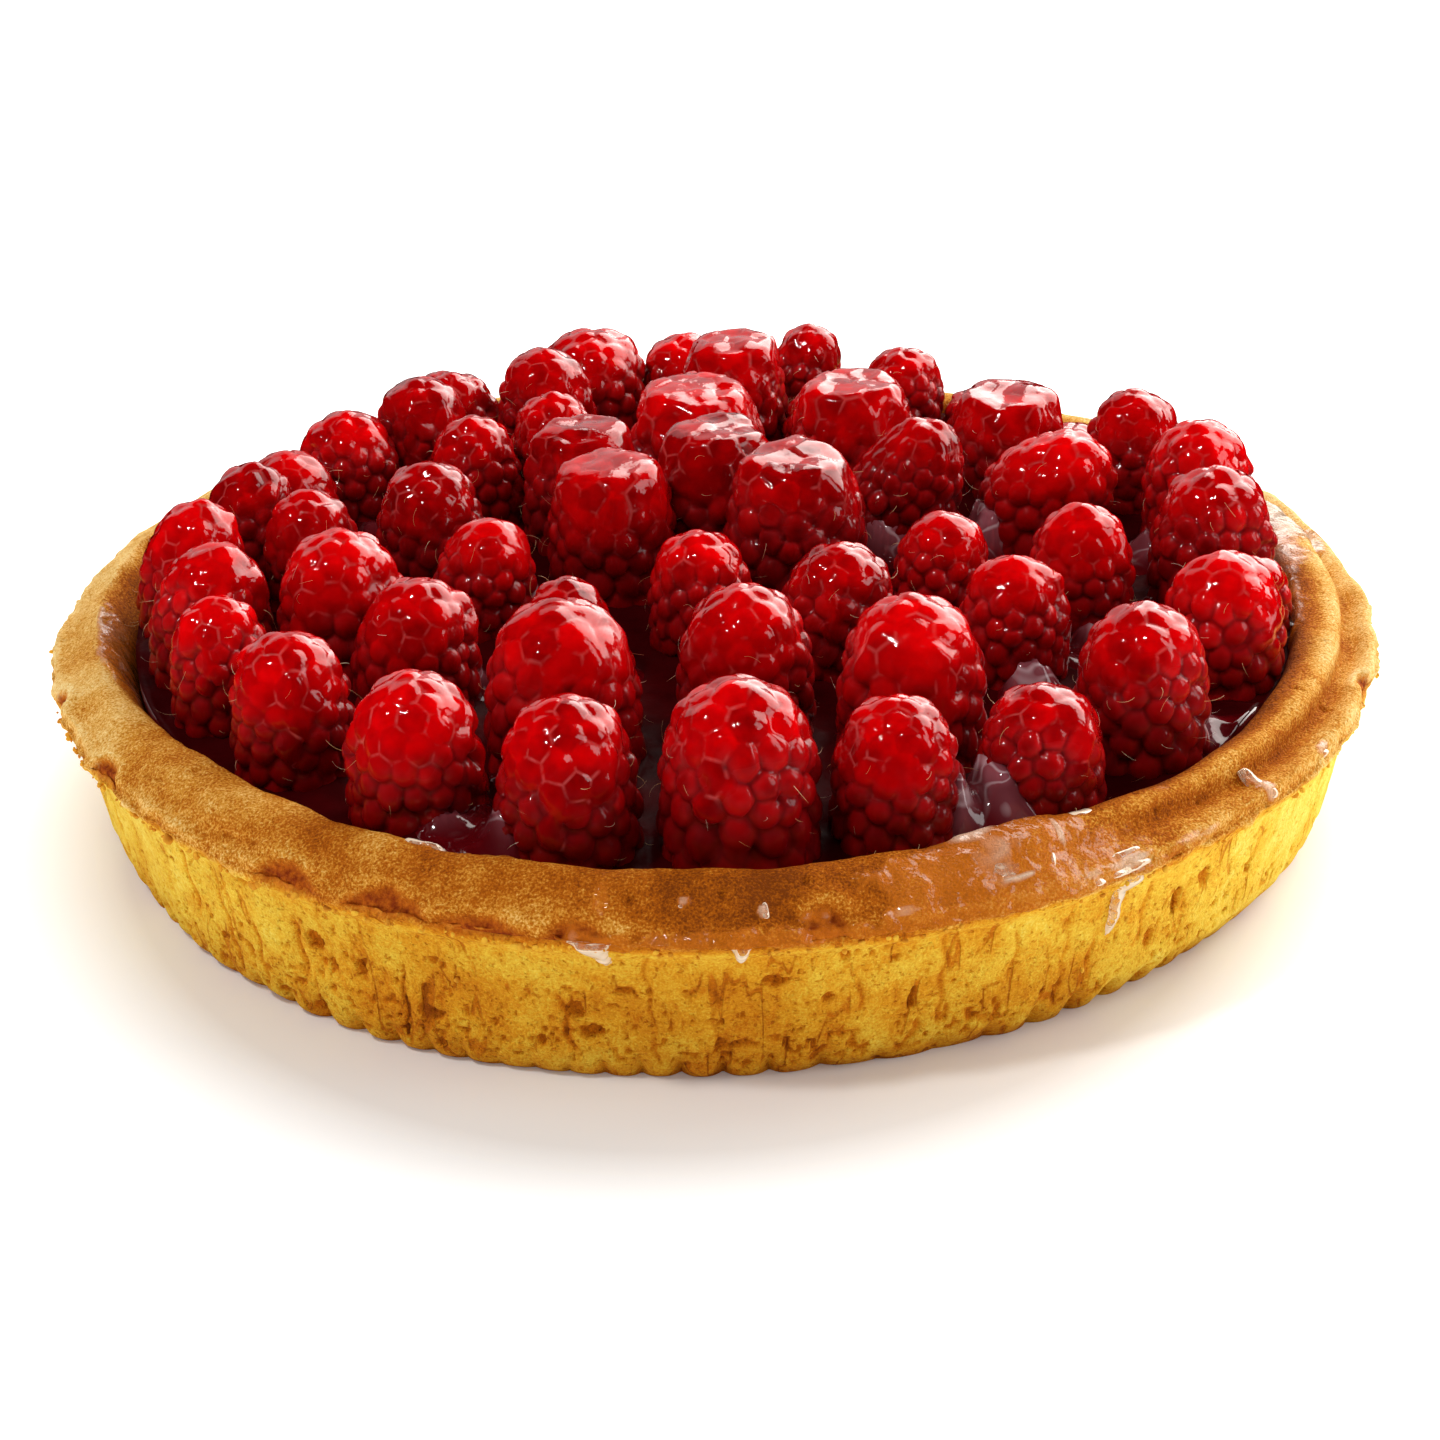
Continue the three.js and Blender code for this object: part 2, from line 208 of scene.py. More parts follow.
crustShape = {
    "steps": 1150,        # around
    "crowding": 0.42,     # how much closer together the steps are in front than behind
    "wallRadius": 104,    # mm, half way up
    "floorLevel": 5,      # mm
    "cadMargin": 0.02,    # mm kept from the CAD's box
    "grooves": 80,        # upright, from the tin's lining
    "grooveDepth": 0.5,   # mm
    "holeDepth": 0.5,     # mm, crumb holes in the wall
    "scallopLift": 1.2,   # mm, the wavy lower edge
    "scallopDepth": 1.5,  # mm that the foot goes in between scallops
    "lipCrumble": 0.85,   # mm
    "hollowDepth": 1.1,   # mm
    "tornLift": 0.5,      # mm that the torn skin stands up above a hollow
    "crackDepth": 0.5,    # mm
    "pits": 46,           # small ones in the baked top
    "cleftDepth": 1.7,    # mm, between the rolled edge and the flange on the right
    "ridgeHeight": 0.4,   # mm, the rolled edge's crown there
    "bulge": 1.5,         # mm that the rim stands up where the glaze spills over it
    "seed": 7,
    # a place on the section: 0 under the foot, 4 the wall's top, 6 the lip, 9 the rim's crest, 13 the floor
    # how brown each place is, from 0 pale yellow to 1 dark brown; the near side adds painted shade, right
    # and left take off painted light
    "browningAndPaintedShade": {0: 0.7, 0.8: 0.6, 1.6: 0.48, 2.3: 0.36, 3: 0.26, 3.8: 0.12, 4.6: 0.08, 5: 0.22, 5.8: 0.24,
                 6.6: 0.3, 7.2: 0.42, 9: 0.42, 10.3: 0.34, 11: 0.44, 12: 0.6, 13: 0.6},
    "nearPaintedShade": {0: -0.13, 1: -0.1, 2.5: 0.16, 4: 0.28, 5: 0.26, 7: 0.38, 9: 0.37, 12: 0.26},
    # where the sides' values fall below 0, on the rim's inner slope, they add painted shade
    "rightPaintedLight": {0: 0.25, 2: 0.38, 3.5: 0.22, 4.5: 0.1, 6: 0.26, 8: 0.32, 9: 0.16, 10: -0.36, 11: -0.6},
    "leftPaintedLight": {0: 0, 1: 0.26, 3: 0.18, 5: 0.1, 7: 0.26, 9.6: 0.24, 11: -0.2},
    "warmAdds": {0: 0, 1: 0.08, 3: 0.08, 4.5: 0.1, 5.2: 0},
    "warmSpots": [(240, 16), (301, 10)],  # turn and half width in degrees
    # hollows under the lip's torn skin: turn in degrees, place on the section, half width in degrees
    "hollows": [(235.4, 6.3, 3.6), (244.4, 6.3, 4), (252.2, 6, 4.2), (259.5, 6, 3.4), (277.6, 6.6, 2),
                (211, 6.3, 2.4), (197, 6.2, 1.8), (340, 6.3, 2), (24, 6.2, 2.6), (58, 6.1, 3),
                (83, 6.3, 2.2), (118, 6.2, 3.1), (142, 6.2, 2), (168, 6.3, 2.7)],
    # torn cavities in the wall: turn, height in mm, half width and half height in mm, depth in mm
    "cavities": [(236, 15.5, 1.4, 2.2, 1.5), (240.3, 13.6, 1.7, 1.6, 1.6), (258.5, 12.4, 1.2, 1.4, 1.4),
                 (259.6, 8.6, 1.6, 1.1, 1.5), (255.6, 6.6, 0.8, 1, 1), (273.8, 18.1, 1.5, 0.8, 1.3),
                 (278, 14.5, 0.9, 0.7, 1), (262.5, 16.5, 1.3, 0.8, 0.9), (284.8, 11.8, 0.6, 2.1, 1.1),
                 (309, 14.9, 0.9, 2.6, 1.4), (306.5, 11, 0.8, 1.8, 1), (318.8, 14.3, 0.9, 1.6, 1.2),
                 (312, 18, 1, 1.3, 1.1), (228, 9, 0.8, 1, 0.9), (247, 8, 0.9, 0.9, 0.9),
                 (290, 6.5, 1, 0.9, 0.9), (20, 12, 1.4, 1.8, 1.2), (61, 9, 1.2, 1.4, 1.2),
                 (97, 15, 1.5, 1.2, 1.3), (133, 11, 1.2, 2, 1.2), (171, 14, 0.9, 2, 1.1),
                 (201, 12, 1, 1.8, 1.1)],
    # short cracks in the baked top: turn, place, half length in degrees, slope of the crack
    "cracks": [(229.5, 7.4, 2.4, 0.02), (235.2, 7.6, 1.6, -0.03), (3, 8.5, 1.4, 0.5),
               (352, 8.3, 1.4, 0.6), (217, 7.9, 1.5, 0.05), (104, 8, 2, 0.04), (150, 7.6, 2.2, -0.04),
               (66, 8.4, 1.3, 0.4)],
    # sugar glaze soaked in or run over: turn, place, half sizes in degrees and in places, wetness, milkiness
    # milkiness is partly the glaze's own cream-white and partly painted highlight
    "spills": [(293, 10.9, 8, 1.5, 1, 0.1), (292, 8.6, 9.5, 1.6, 1, 0.12), (290.5, 10, 3, 0.8, 1, 1),
               (290, 10.4, 1.4, 0.5, 1, 0.9), (297.3, 10.75, 1.8, 0.5, 1, 1),
               (291.3, 8.5, 2.2, 1.6, 1, 0.45), (292.8, 7.5, 1.5, 0.22, 1, 0.9),
               (297.5, 8.9, 0.5, 0.9, 1, 0.8), (285.5, 8.2, 3.5, 1.6, 0.9, 0.1),
               (294, 7.6, 12, 1.3, 0.95, 0), (274, 6.2, 13, 0.75, 0.9, 0), (292, 6.4, 15, 0.8, 1, 0.05),
               (302.2, 6.75, 2.6, 0.4, 1, 0.8), (298.6, 6.7, 1.3, 0.3, 1, 0.8),
               (283.4, 7, 1.9, 0.25, 1, 0.5), (276.6, 7.2, 1.4, 0.25, 1, 0.45),
               (273, 7.5, 0.5, 0.3, 1, 0.6), (267.2, 7.9, 0.7, 0.35, 1, 0.5),
               (261, 8, 0.7, 1.2, 0.8, 0.25), (261, 5.8, 3, 1, 1, 0.2), (191, 11, 10, 1.4, 1, 0.12),
               (184.5, 10.1, 3, 0.7, 1, 0.6), (355, 11, 12, 0.9, 1, 0.1), (6, 10.6, 6.5, 1.5, 0.9, 0.4),
               (12, 9.2, 6.5, 2.3, 1, 0.85), (245.2, 10.6, 1.7, 0.7, 1, 0.4),
               (252, 10.9, 4.5, 0.6, 0.9, 0.2), (318, 7.2, 0.7, 1.1, 1, 0.5),
               (326.8, 6.8, 1.1, 0.3, 1, 0.6), (309, 6.6, 2.5, 0.3, 0.8, 0.4),
               (308.6, 9.4, 1, 0.3, 0.7, 0.4)],
}


def wander(turn, kind):
    # slow unevenness round the tart, from -1 to 1; each kind wanders in its own way
    return (0.4 * np.sin(5 * turn + 2.1 * kind) + 0.3 * np.sin(13 * turn + 4.7 * kind)
            + 0.3 * np.sin(29 * turn + 1.3 * kind))


def crestLevel(turn):
    # the rim's height in mm, higher in front
    return 31.2 - 1.5 * np.sin(turn) + 0.7 * np.maximum(0, -np.sin(turn)) ** 4


def crestInside(turn):
    # the radius in mm at which the rim's top ends, inside
    broad = 4.2 * peak(turn - math.radians(219), math.radians(24))
    slim = 1.8 * peak(turn - math.radians(314), math.radians(17))
    return 98.6 - 2.8 * np.cos(turn) - broad + slim


def crustSection(turn):
    # the shell's outline at each angle, from under the foot over the rim to the floor, in mm
    pleat = 0.9 * np.maximum(0, wander(turn, 1))
    lip = 0.7 * wander(turn, 2)
    crest = crestLevel(turn) + 0.35 * wander(turn, 3)
    inside = crestInside(turn)
    worn = peak(turn - math.radians(315), math.radians(22))
    toeLift = 1.1 * np.maximum(0, wander(turn, 4)) + 2 * worn
    hollow = 1.5 * np.maximum(0, np.cos(turn))
    flange = 25.2 - 1.6 * np.maximum(0, np.sin(turn) + 0.35) + 0.6 * lip
    flat = np.zeros_like(turn)
    spread = 1.2 * peak(turn - math.radians(243), math.radians(18))
    rows = [
        (101.3 - 0.8 * toeLift + spread, flat),
        (102.5 - pleat - 0.5 * worn + spread, 1 + toeLift),
        (103.4 - pleat + 0.8 * spread, flat + 5),
        (104.8 - pleat, flat + 13),
        (106.6 - 0.6 * pleat, flat + 22.5),
        (108.9 + lip, flange - 0.3),
        (110 + lip, flange + 1.4),
        (107.8 + lip, flange + 3.2),
        (flat + 105.24, crest - 1.7 - hollow),
        (flat + 102.6, crest),
        (inside + 1.2, crest),
        (inside, crest - 1.2),
        (flat + 95.4, flat + 26.5),
        (flat + 91, flat + 5),
    ]
    return np.array(rows)  # row, (radius, height), angle


def crustProfile(turn):
    # the section drawn finer and rounded off; also each row's place along the section
    counts = [2, 8, 15, 18, 8, 5, 6, 6, 6, 4, 3, 3, 1]  # rows drawn for each step of the section
    control = crustSection(turn)
    rows, place = [], []
    for index, count in enumerate(counts):
        for i in range(count):
            share = i / count
            rows.append(control[index] * (1 - share) + control[index + 1] * share)
            place.append(index + share)
    rows.append(control[-1])
    place.append(len(counts))
    profile = np.array(rows)
    for _ in range(3):
        profile[1:-1] = 0.25 * profile[:-2] + 0.5 * profile[1:-1] + 0.25 * profile[2:]
    return profile[:, 0], profile[:, 1], np.array(place)


def turnAway(turn, degrees):
    # degrees from a given angle, from -180 to 180
    return (np.degrees(turn) - degrees + 180) % 360 - 180


def mmAway(turn, degrees):
    # the same along the wall, in mm
    return turnAway(turn, degrees) * math.pi / 180 * crustShape["wallRadius"]


def crustGrid():
    # the section at each step round the tart, before its relief, and how far each row is wall, lip, rim, toe
    steps = crustShape["steps"]
    even = np.arange(steps) * 2 * math.pi / steps
    turn = np.sort((even - crustShape["crowding"] * np.cos(even)) % (2 * math.pi))
    radius, height, place = crustProfile(turn)
    around = np.broadcast_to(turn, radius.shape)
    points = np.stack([radius * np.cos(around), radius * np.sin(around), height], -1)
    # outward direction within each section
    dr, dz = np.gradient(radius, axis=0), np.gradient(height, axis=0)
    length = np.hypot(dr, dz) + 1e-9
    return SimpleNamespace(
        turn=turn, place=place, around=around, placeOf=np.broadcast_to(place[:, None], radius.shape),
        radius=radius, height=height, points=points, outR=dz / length, outZ=-dr / length,
        onWall=window(place, 0.8, 1.6, 4.1, 4.8)[:, None],
        onLip=window(place, 4.4, 5, 6.3, 7)[:, None],
        onRim=window(place, 6.2, 7.2, 11.3, 12)[:, None],
        onToe=(1 - smoothShare(place, 0.9, 2.4))[:, None],
        ragged=lumps(points, 1.1, 11))


def cutGrooves(at, relief, rng):
    # upright grooves in the wall, and how deep each place is in one
    shape = crustShape
    arc = at.around * shape["wallRadius"]
    lap = 2 * math.pi * shape["wallRadius"]
    groove = np.zeros_like(relief)
    for k in range(shape["grooves"]):
        middle = lap * (k + rng.uniform(-0.35, 0.35)) / shape["grooves"]
        leftSide = 0.5 - 0.5 * math.cos(middle / shape["wallRadius"])
        low, high = rng.uniform(1, 15) * (1 - 0.3 * leftSide), rng.uniform(15, 25)
        depth = rng.uniform(0.15, 1) * (0.55 + 0.6 * leftSide)
        wide = rng.uniform(0.24, 0.45)
        slant = rng.uniform(-0.05, 0.3) * leftSide - 0.1 * (1 - leftSide)
        away = arc - middle + slant * (at.height - 18)
        away = (away + lap / 2) % lap - lap / 2
        away += 0.35 * np.sin(at.height * 0.9 + k)
        between = window(at.height, low - 2, low + 1, high - 2, high + 1)
        groove = np.maximum(groove, depth * peak(away, wide) * between * at.onWall)
    relief -= shape["grooveDepth"] * groove
    return groove


def cutHoles(at, relief):
    # crumb holes in clusters, more of them near the foot, and the torn cavities
    cluster = 0.5 + 0.5 * lumps(at.points, 9, 12)
    nearFoot = 0.3 * (1 - smoothShare(at.height, 4, 16))
    large = lumps(at.points, 1.9, 13) + 0.35 * at.ragged + 0.3 * cluster + nearFoot
    small = lumps(at.points, 1.0, 14) + 0.3 * cluster + nearFoot
    holes = np.maximum(smoothShare(large, 1.0, 1.2), 0.8 * smoothShare(small, 0.84, 1.02))
    holes = holes * (at.onWall + 0.12 * at.onLip + 0.06 * at.onRim)
    relief -= crustShape["holeDepth"] * holes
    for degrees, level, wide, tall, depth in crustShape["cavities"]:
        far = np.sqrt((mmAway(at.around, degrees) / wide) ** 2 + ((at.height - level) / tall) ** 2)
        far = far + 0.45 * at.ragged + 0.25 * lumps(at.points, 2.4, 15)
        cave = (1 - smoothShare(far, 0.75, 1.15)) * at.onWall
        relief -= 0.7 * depth * cave
        holes = np.maximum(holes, cave)
    return holes


def roughen(at, relief):
    # the dough's own unevenness, calmer on the right of the rim, and crumbly on the lip
    points = at.points
    relief += at.onWall * (0.2 * lumps(points, 5, 1) + 0.1 * lumps(points, 1.7, 2))
    calm = 1 - 0.65 * smoothShare(np.cos(at.around), 0.25, 0.85)
    uneven = 0.36 * lumps(points, 9, 3) + 0.2 * lumps(points, 3.6, 4) + 0.07 * lumps(points, 1.3, 27)
    relief += calm * at.onRim * uneven
    crumbled = 0.4 * lumps(points, 1.2, 5) + 0.6 * lumps(points, 3.3, 6) - 0.35
    relief += at.onLip * crustShape["lipCrumble"] * crumbled
    relief += 0.3 * smoothShare(lumps(points, 1.4, 7), 0.35, 0.8) * at.onLip  # crumbs baked on


def tearLip(at, relief):
    # hollows under the torn skin of the lip, with a raised edge above, and the skin's edge along the lip
    shape = crustShape
    hollow, tornEdgeHighlight, shade = (np.zeros_like(relief) for _ in range(3))
    for degrees, middle, wide in shape["hollows"]:
        along = turnAway(at.around, degrees) / wide
        across = (at.placeOf - middle) / 1.05 + 0.35 * along ** 2 + 0.15 * lumps(at.points, 3, 30)
        deep = 1 - smoothShare(along ** 2 + across ** 2 + 0.07 * at.ragged, 0.35, 1.1)
        hollow = np.maximum(hollow, deep)
        # painted shade in the upper part of each hollow, under the raised skin
        shade = np.maximum(shade, deep * smoothShare(across, -0.5, 0.5))
        relief -= shape["hollowDepth"] * deep
        lifted = peak(across - 1.3, 0.4) * (1 - smoothShare(along ** 2, 0.6, 1.6))
        relief += shape["tornLift"] * lifted
        # where a painted highlight runs along the torn skin's raised edge
        tornEdgeHighlight = np.maximum(tornEdgeHighlight, peak(across - 1.15, 0.2) * (1 - smoothShare(along ** 2, 0.4, 1.4)))
    edgeLine = 6.75 + 0.22 * lumps(at.points, 9, 22) + 0.1 * lumps(at.points, 2.5, 23)
    torn = 0.5 + 0.5 * lumps(at.points, 6, 24)
    relief += 0.6 * torn * peak(at.placeOf - edgeLine, 0.26)
    relief -= 0.5 * torn * peak(at.placeOf - edgeLine + 0.6, 0.28)
    return hollow, tornEdgeHighlight, shade


def markTop(at, relief, rng):
    # cracks and pits in the baked top
    shape = crustShape
    for degrees, middle, wide, slope in shape["cracks"]:
        along = turnAway(at.around, degrees)
        across = at.placeOf - middle - slope * along + 0.05 * lumps(at.points, 1.5, 16)
        inLength = 1 - smoothShare(np.abs(along), 0.6 * wide, wide)
        relief -= shape["crackDepth"] * peak(across, 0.07) * inLength * at.onRim
    for _ in range(shape["pits"]):
        degrees, middle = rng.uniform(0, 360), rng.uniform(7, 10.6)
        far = np.hypot(mmAway(at.around, degrees), (at.placeOf - middle) * 2.9) / rng.uniform(0.35, 0.75)
        far = far + 0.4 * at.ragged
        relief -= rng.uniform(0.3, 0.6) * (1 - smoothShare(far, 0.4, 1.2)) * at.onRim


def rollRim(at, relief):
    # on the right the rolled edge stands clear of the flange, with a groove between
    apart = smoothShare(np.cos(at.around), 0.25, 0.85)
    cleft = apart * peak(at.placeOf - 8.1 - 0.08 * lumps(at.points, 14, 29), 0.42)
    ridge = apart * peak(at.placeOf - 9.2, 0.4)
    relief += crustShape["ridgeHeight"] * ridge - crustShape["cleftDepth"] * cleft
    relief += 0.6 * apart * peak(at.placeOf - 6.9, 0.4)
    # the rim bulges inwards and up where the glaze spills over it
    bulge = peak(turnAway(at.around, 293.5), 5.5) * peak(at.placeOf - 9.8, 1.3)
    uneven = crustShape["bulge"] + 0.8 * lumps(at.points, 4.5, 25) + 0.5 * lumps(at.points, 2.2, 26)
    relief += bulge * uneven
    return cleft, ridge


def pourGlaze(at, relief):
    # glaze fills what is under it, and ripples where it is thick
    wet, milkAndHighlight = np.zeros_like(relief), np.zeros_like(relief)
    edgeNoise = 0.3 * lumps(at.points, 2.2, 17) + 0.2 * lumps(at.points, 5, 18)
    for degrees, middle, wide, tall, wetness, milkinessAndHighlight in crustShape["spills"]:
        far = np.hypot(turnAway(at.around, degrees) / wide, (at.placeOf - middle) / tall) + edgeNoise
        wet = np.maximum(wet, wetness * (1 - smoothShare(far, 0.8, 1.02)))
        milkAndHighlight = np.maximum(milkAndHighlight, milkinessAndHighlight * (1 - smoothShare(far, 0.5, 1)))
    ripple = lumps(at.points, 3.6, 19) + 0.4 * lumps(at.points, 1.7, 20)
    glazed = wet * (at.onRim + at.onLip)
    relief = relief * (1 - 0.35 * glazed) + glazed * (0.2 + 0.45 * ripple + 0.3 * milkAndHighlight)
    return relief, wet, milkAndHighlight * (0.65 + 0.35 * smoothShare(ripple, -0.5, 0.5))


def alongSection(place, table):
    # a table of places on the section and values, read at any place
    return np.interp(place, list(table), list(table.values()))


def browningWithPaintedLight(at):
    # how brown each step's section is, with painted shade on the near side of wall and rim and painted light
    # on right and left
    shape, turn = crustShape, at.turn
    warmer = sum(peak(turnAway(turn, degrees), wide) for degrees, wide in shape["warmSpots"])
    brownAndShade = alongSection(at.place, shape["browningAndPaintedShade"])[None]
    brownAndShade = brownAndShade + np.outer((0.5 - 0.5 * np.sin(turn)) ** 2, alongSection(at.place, shape["nearPaintedShade"]))
    brownAndShade = brownAndShade - np.outer(np.maximum(0, np.cos(turn)), alongSection(at.place, shape["rightPaintedLight"]))
    brownAndShade = brownAndShade - np.outer(np.maximum(0, -np.cos(turn)), alongSection(at.place, shape["leftPaintedLight"]))
    return brownAndShade + np.outer(warmer, alongSection(at.place, shape["warmAdds"]))


def crustMesh(xyz):
    # one closed body from points by row and step, with a middle point each for the foot and the floor
    rowCount, steps = xyz.shape[:2]
    points = xyz.transpose(1, 0, 2).reshape(-1, 3)  # step by step, row by row
    here = np.arange(steps)[:, None] * rowCount + np.arange(rowCount - 1)[None]
    after = ((np.arange(steps) + 1) % steps)[:, None] * rowCount + np.arange(rowCount - 1)[None]
    quads = np.stack([here, after, after + 1, here + 1], -1).reshape(-1, 4)
    first = np.arange(steps) * rowCount
    second = (np.arange(steps) + 1) % steps * rowCount
    triangles = np.concatenate([
        quads[:, [0, 1, 2]],
        quads[:, [0, 2, 3]],
        np.stack([np.full(steps, len(points)), second, first], -1),
        np.stack([np.full(steps, len(points) + 1), first + rowCount - 1, second + rowCount - 1], -1),
    ])
    return np.concatenate([points, [[0, 0, 0], [0, 0, crustShape["floorLevel"]]]]), triangles


def makeCrust(material):
    shape = crustShape
    rng = np.random.default_rng(shape["seed"])
    at = crustGrid()
    relief = np.zeros_like(at.radius)  # mm outwards, changed in place up to the glaze
    groove = cutGrooves(at, relief, rng)
    holes = cutHoles(at, relief)
    roughen(at, relief)
    hollow, tornEdgeHighlight, shade = tearLip(at, relief)
    markTop(at, relief, rng)
    fine = np.clip(relief, -0.6, 0.3)  # what the colour follows: painted shade where low, painted highlight where high
    cleft, ridge = rollRim(at, relief)
    relief, wet, milkAndHighlight = pourGlaze(at, relief)

    # the lining's folds leave small scallops along the foot
    around = at.around
    scallop = 1 - np.abs(np.sin(50 * around + 1.3 * np.sin(7 * around) + 2 * np.sin(3 * around)))
    notch = at.onToe * scallop ** 1.5 * (0.65 + 0.35 * np.sin(11 * around))
    height = at.height + shape["scallopLift"] * notch
    radius = at.radius - shape["scallopDepth"] * notch
    smooth = np.stack([radius, height, at.outR, at.outZ], -1)  # what drips and crumbs are laid on
    radius = radius + relief * at.outR
    height = np.maximum(height + relief * at.outZ, 0)
    height[0] = 0
    xyz = np.stack([radius * np.cos(around), radius * np.sin(around), height], -1)
    insideCad(xyz, shape["cadMargin"])
    points, triangles = crustMesh(xyz)

    brownAndShade = browningWithPaintedLight(at)
    # painted shade in the grooves, holes, scallop notches and the right cleft; painted highlight on the
    # ridge and along the torn skin's edge
    brownAndShade += (0.24 * groove + 0.18 * holes + 0.08 * notch + 0.26 * cleft - 0.2 * ridge - 0.12 * tornEdgeHighlight).T
    baked = np.broadcast_to(smoothShare(at.place, 4.9, 6), brownAndShade.shape)
    fields = {"browningAndPaintedShade": (brownAndShade, 0.7), "paintedReliefLight": (fine.T, 0), "wet": (wet.T, 0), "milkAndHighlight": (milkAndHighlight.T, 0),
              "baked": (baked, 0.5), "hollow": (hollow.T, 0), "shade": (shade.T, 0)}
    # a value for each point of the section at each step, then for the middles of the foot and the floor
    attributes = {key: np.append(field, [last, last]) for key, (field, last) in fields.items()}
    print("crust:", len(triangles), "triangles")
    makePiece("shortcrustShell", points, triangles, material, attributes, ["crust"])
    return {"turn": at.turn, "place": at.place, "smooth": smooth}


def onCrust(grid, degrees, place):
    # points and outward directions on the crust before its fine relief; both arguments of one shape
    turns = np.radians(degrees) % (2 * math.pi)
    step = np.interp(turns, np.append(grid["turn"], 2 * math.pi), np.arange(len(grid["turn"]) + 1))
    row = np.interp(place, grid["place"], np.arange(len(grid["place"])))
    s0, r0 = np.floor(step).astype(int), np.clip(np.floor(row).astype(int), 0, len(grid["place"]) - 2)
    sp, rp = (step - s0)[..., None], (row - r0)[..., None]
    s0, s1 = s0 % len(grid["turn"]), (s0 + 1) % len(grid["turn"])
    field = grid["smooth"]
    near = (field[r0, s0] * (1 - rp) + field[r0 + 1, s0] * rp) * (1 - sp)
    near = near + (field[r0, s1] * (1 - rp) + field[r0 + 1, s1] * rp) * sp
    spot = np.stack([near[..., 0] * np.cos(turns), near[..., 0] * np.sin(turns), near[..., 1]], -1)
    out = np.stack([near[..., 2] * np.cos(turns), near[..., 2] * np.sin(turns), near[..., 3]], -1)
    return spot, out


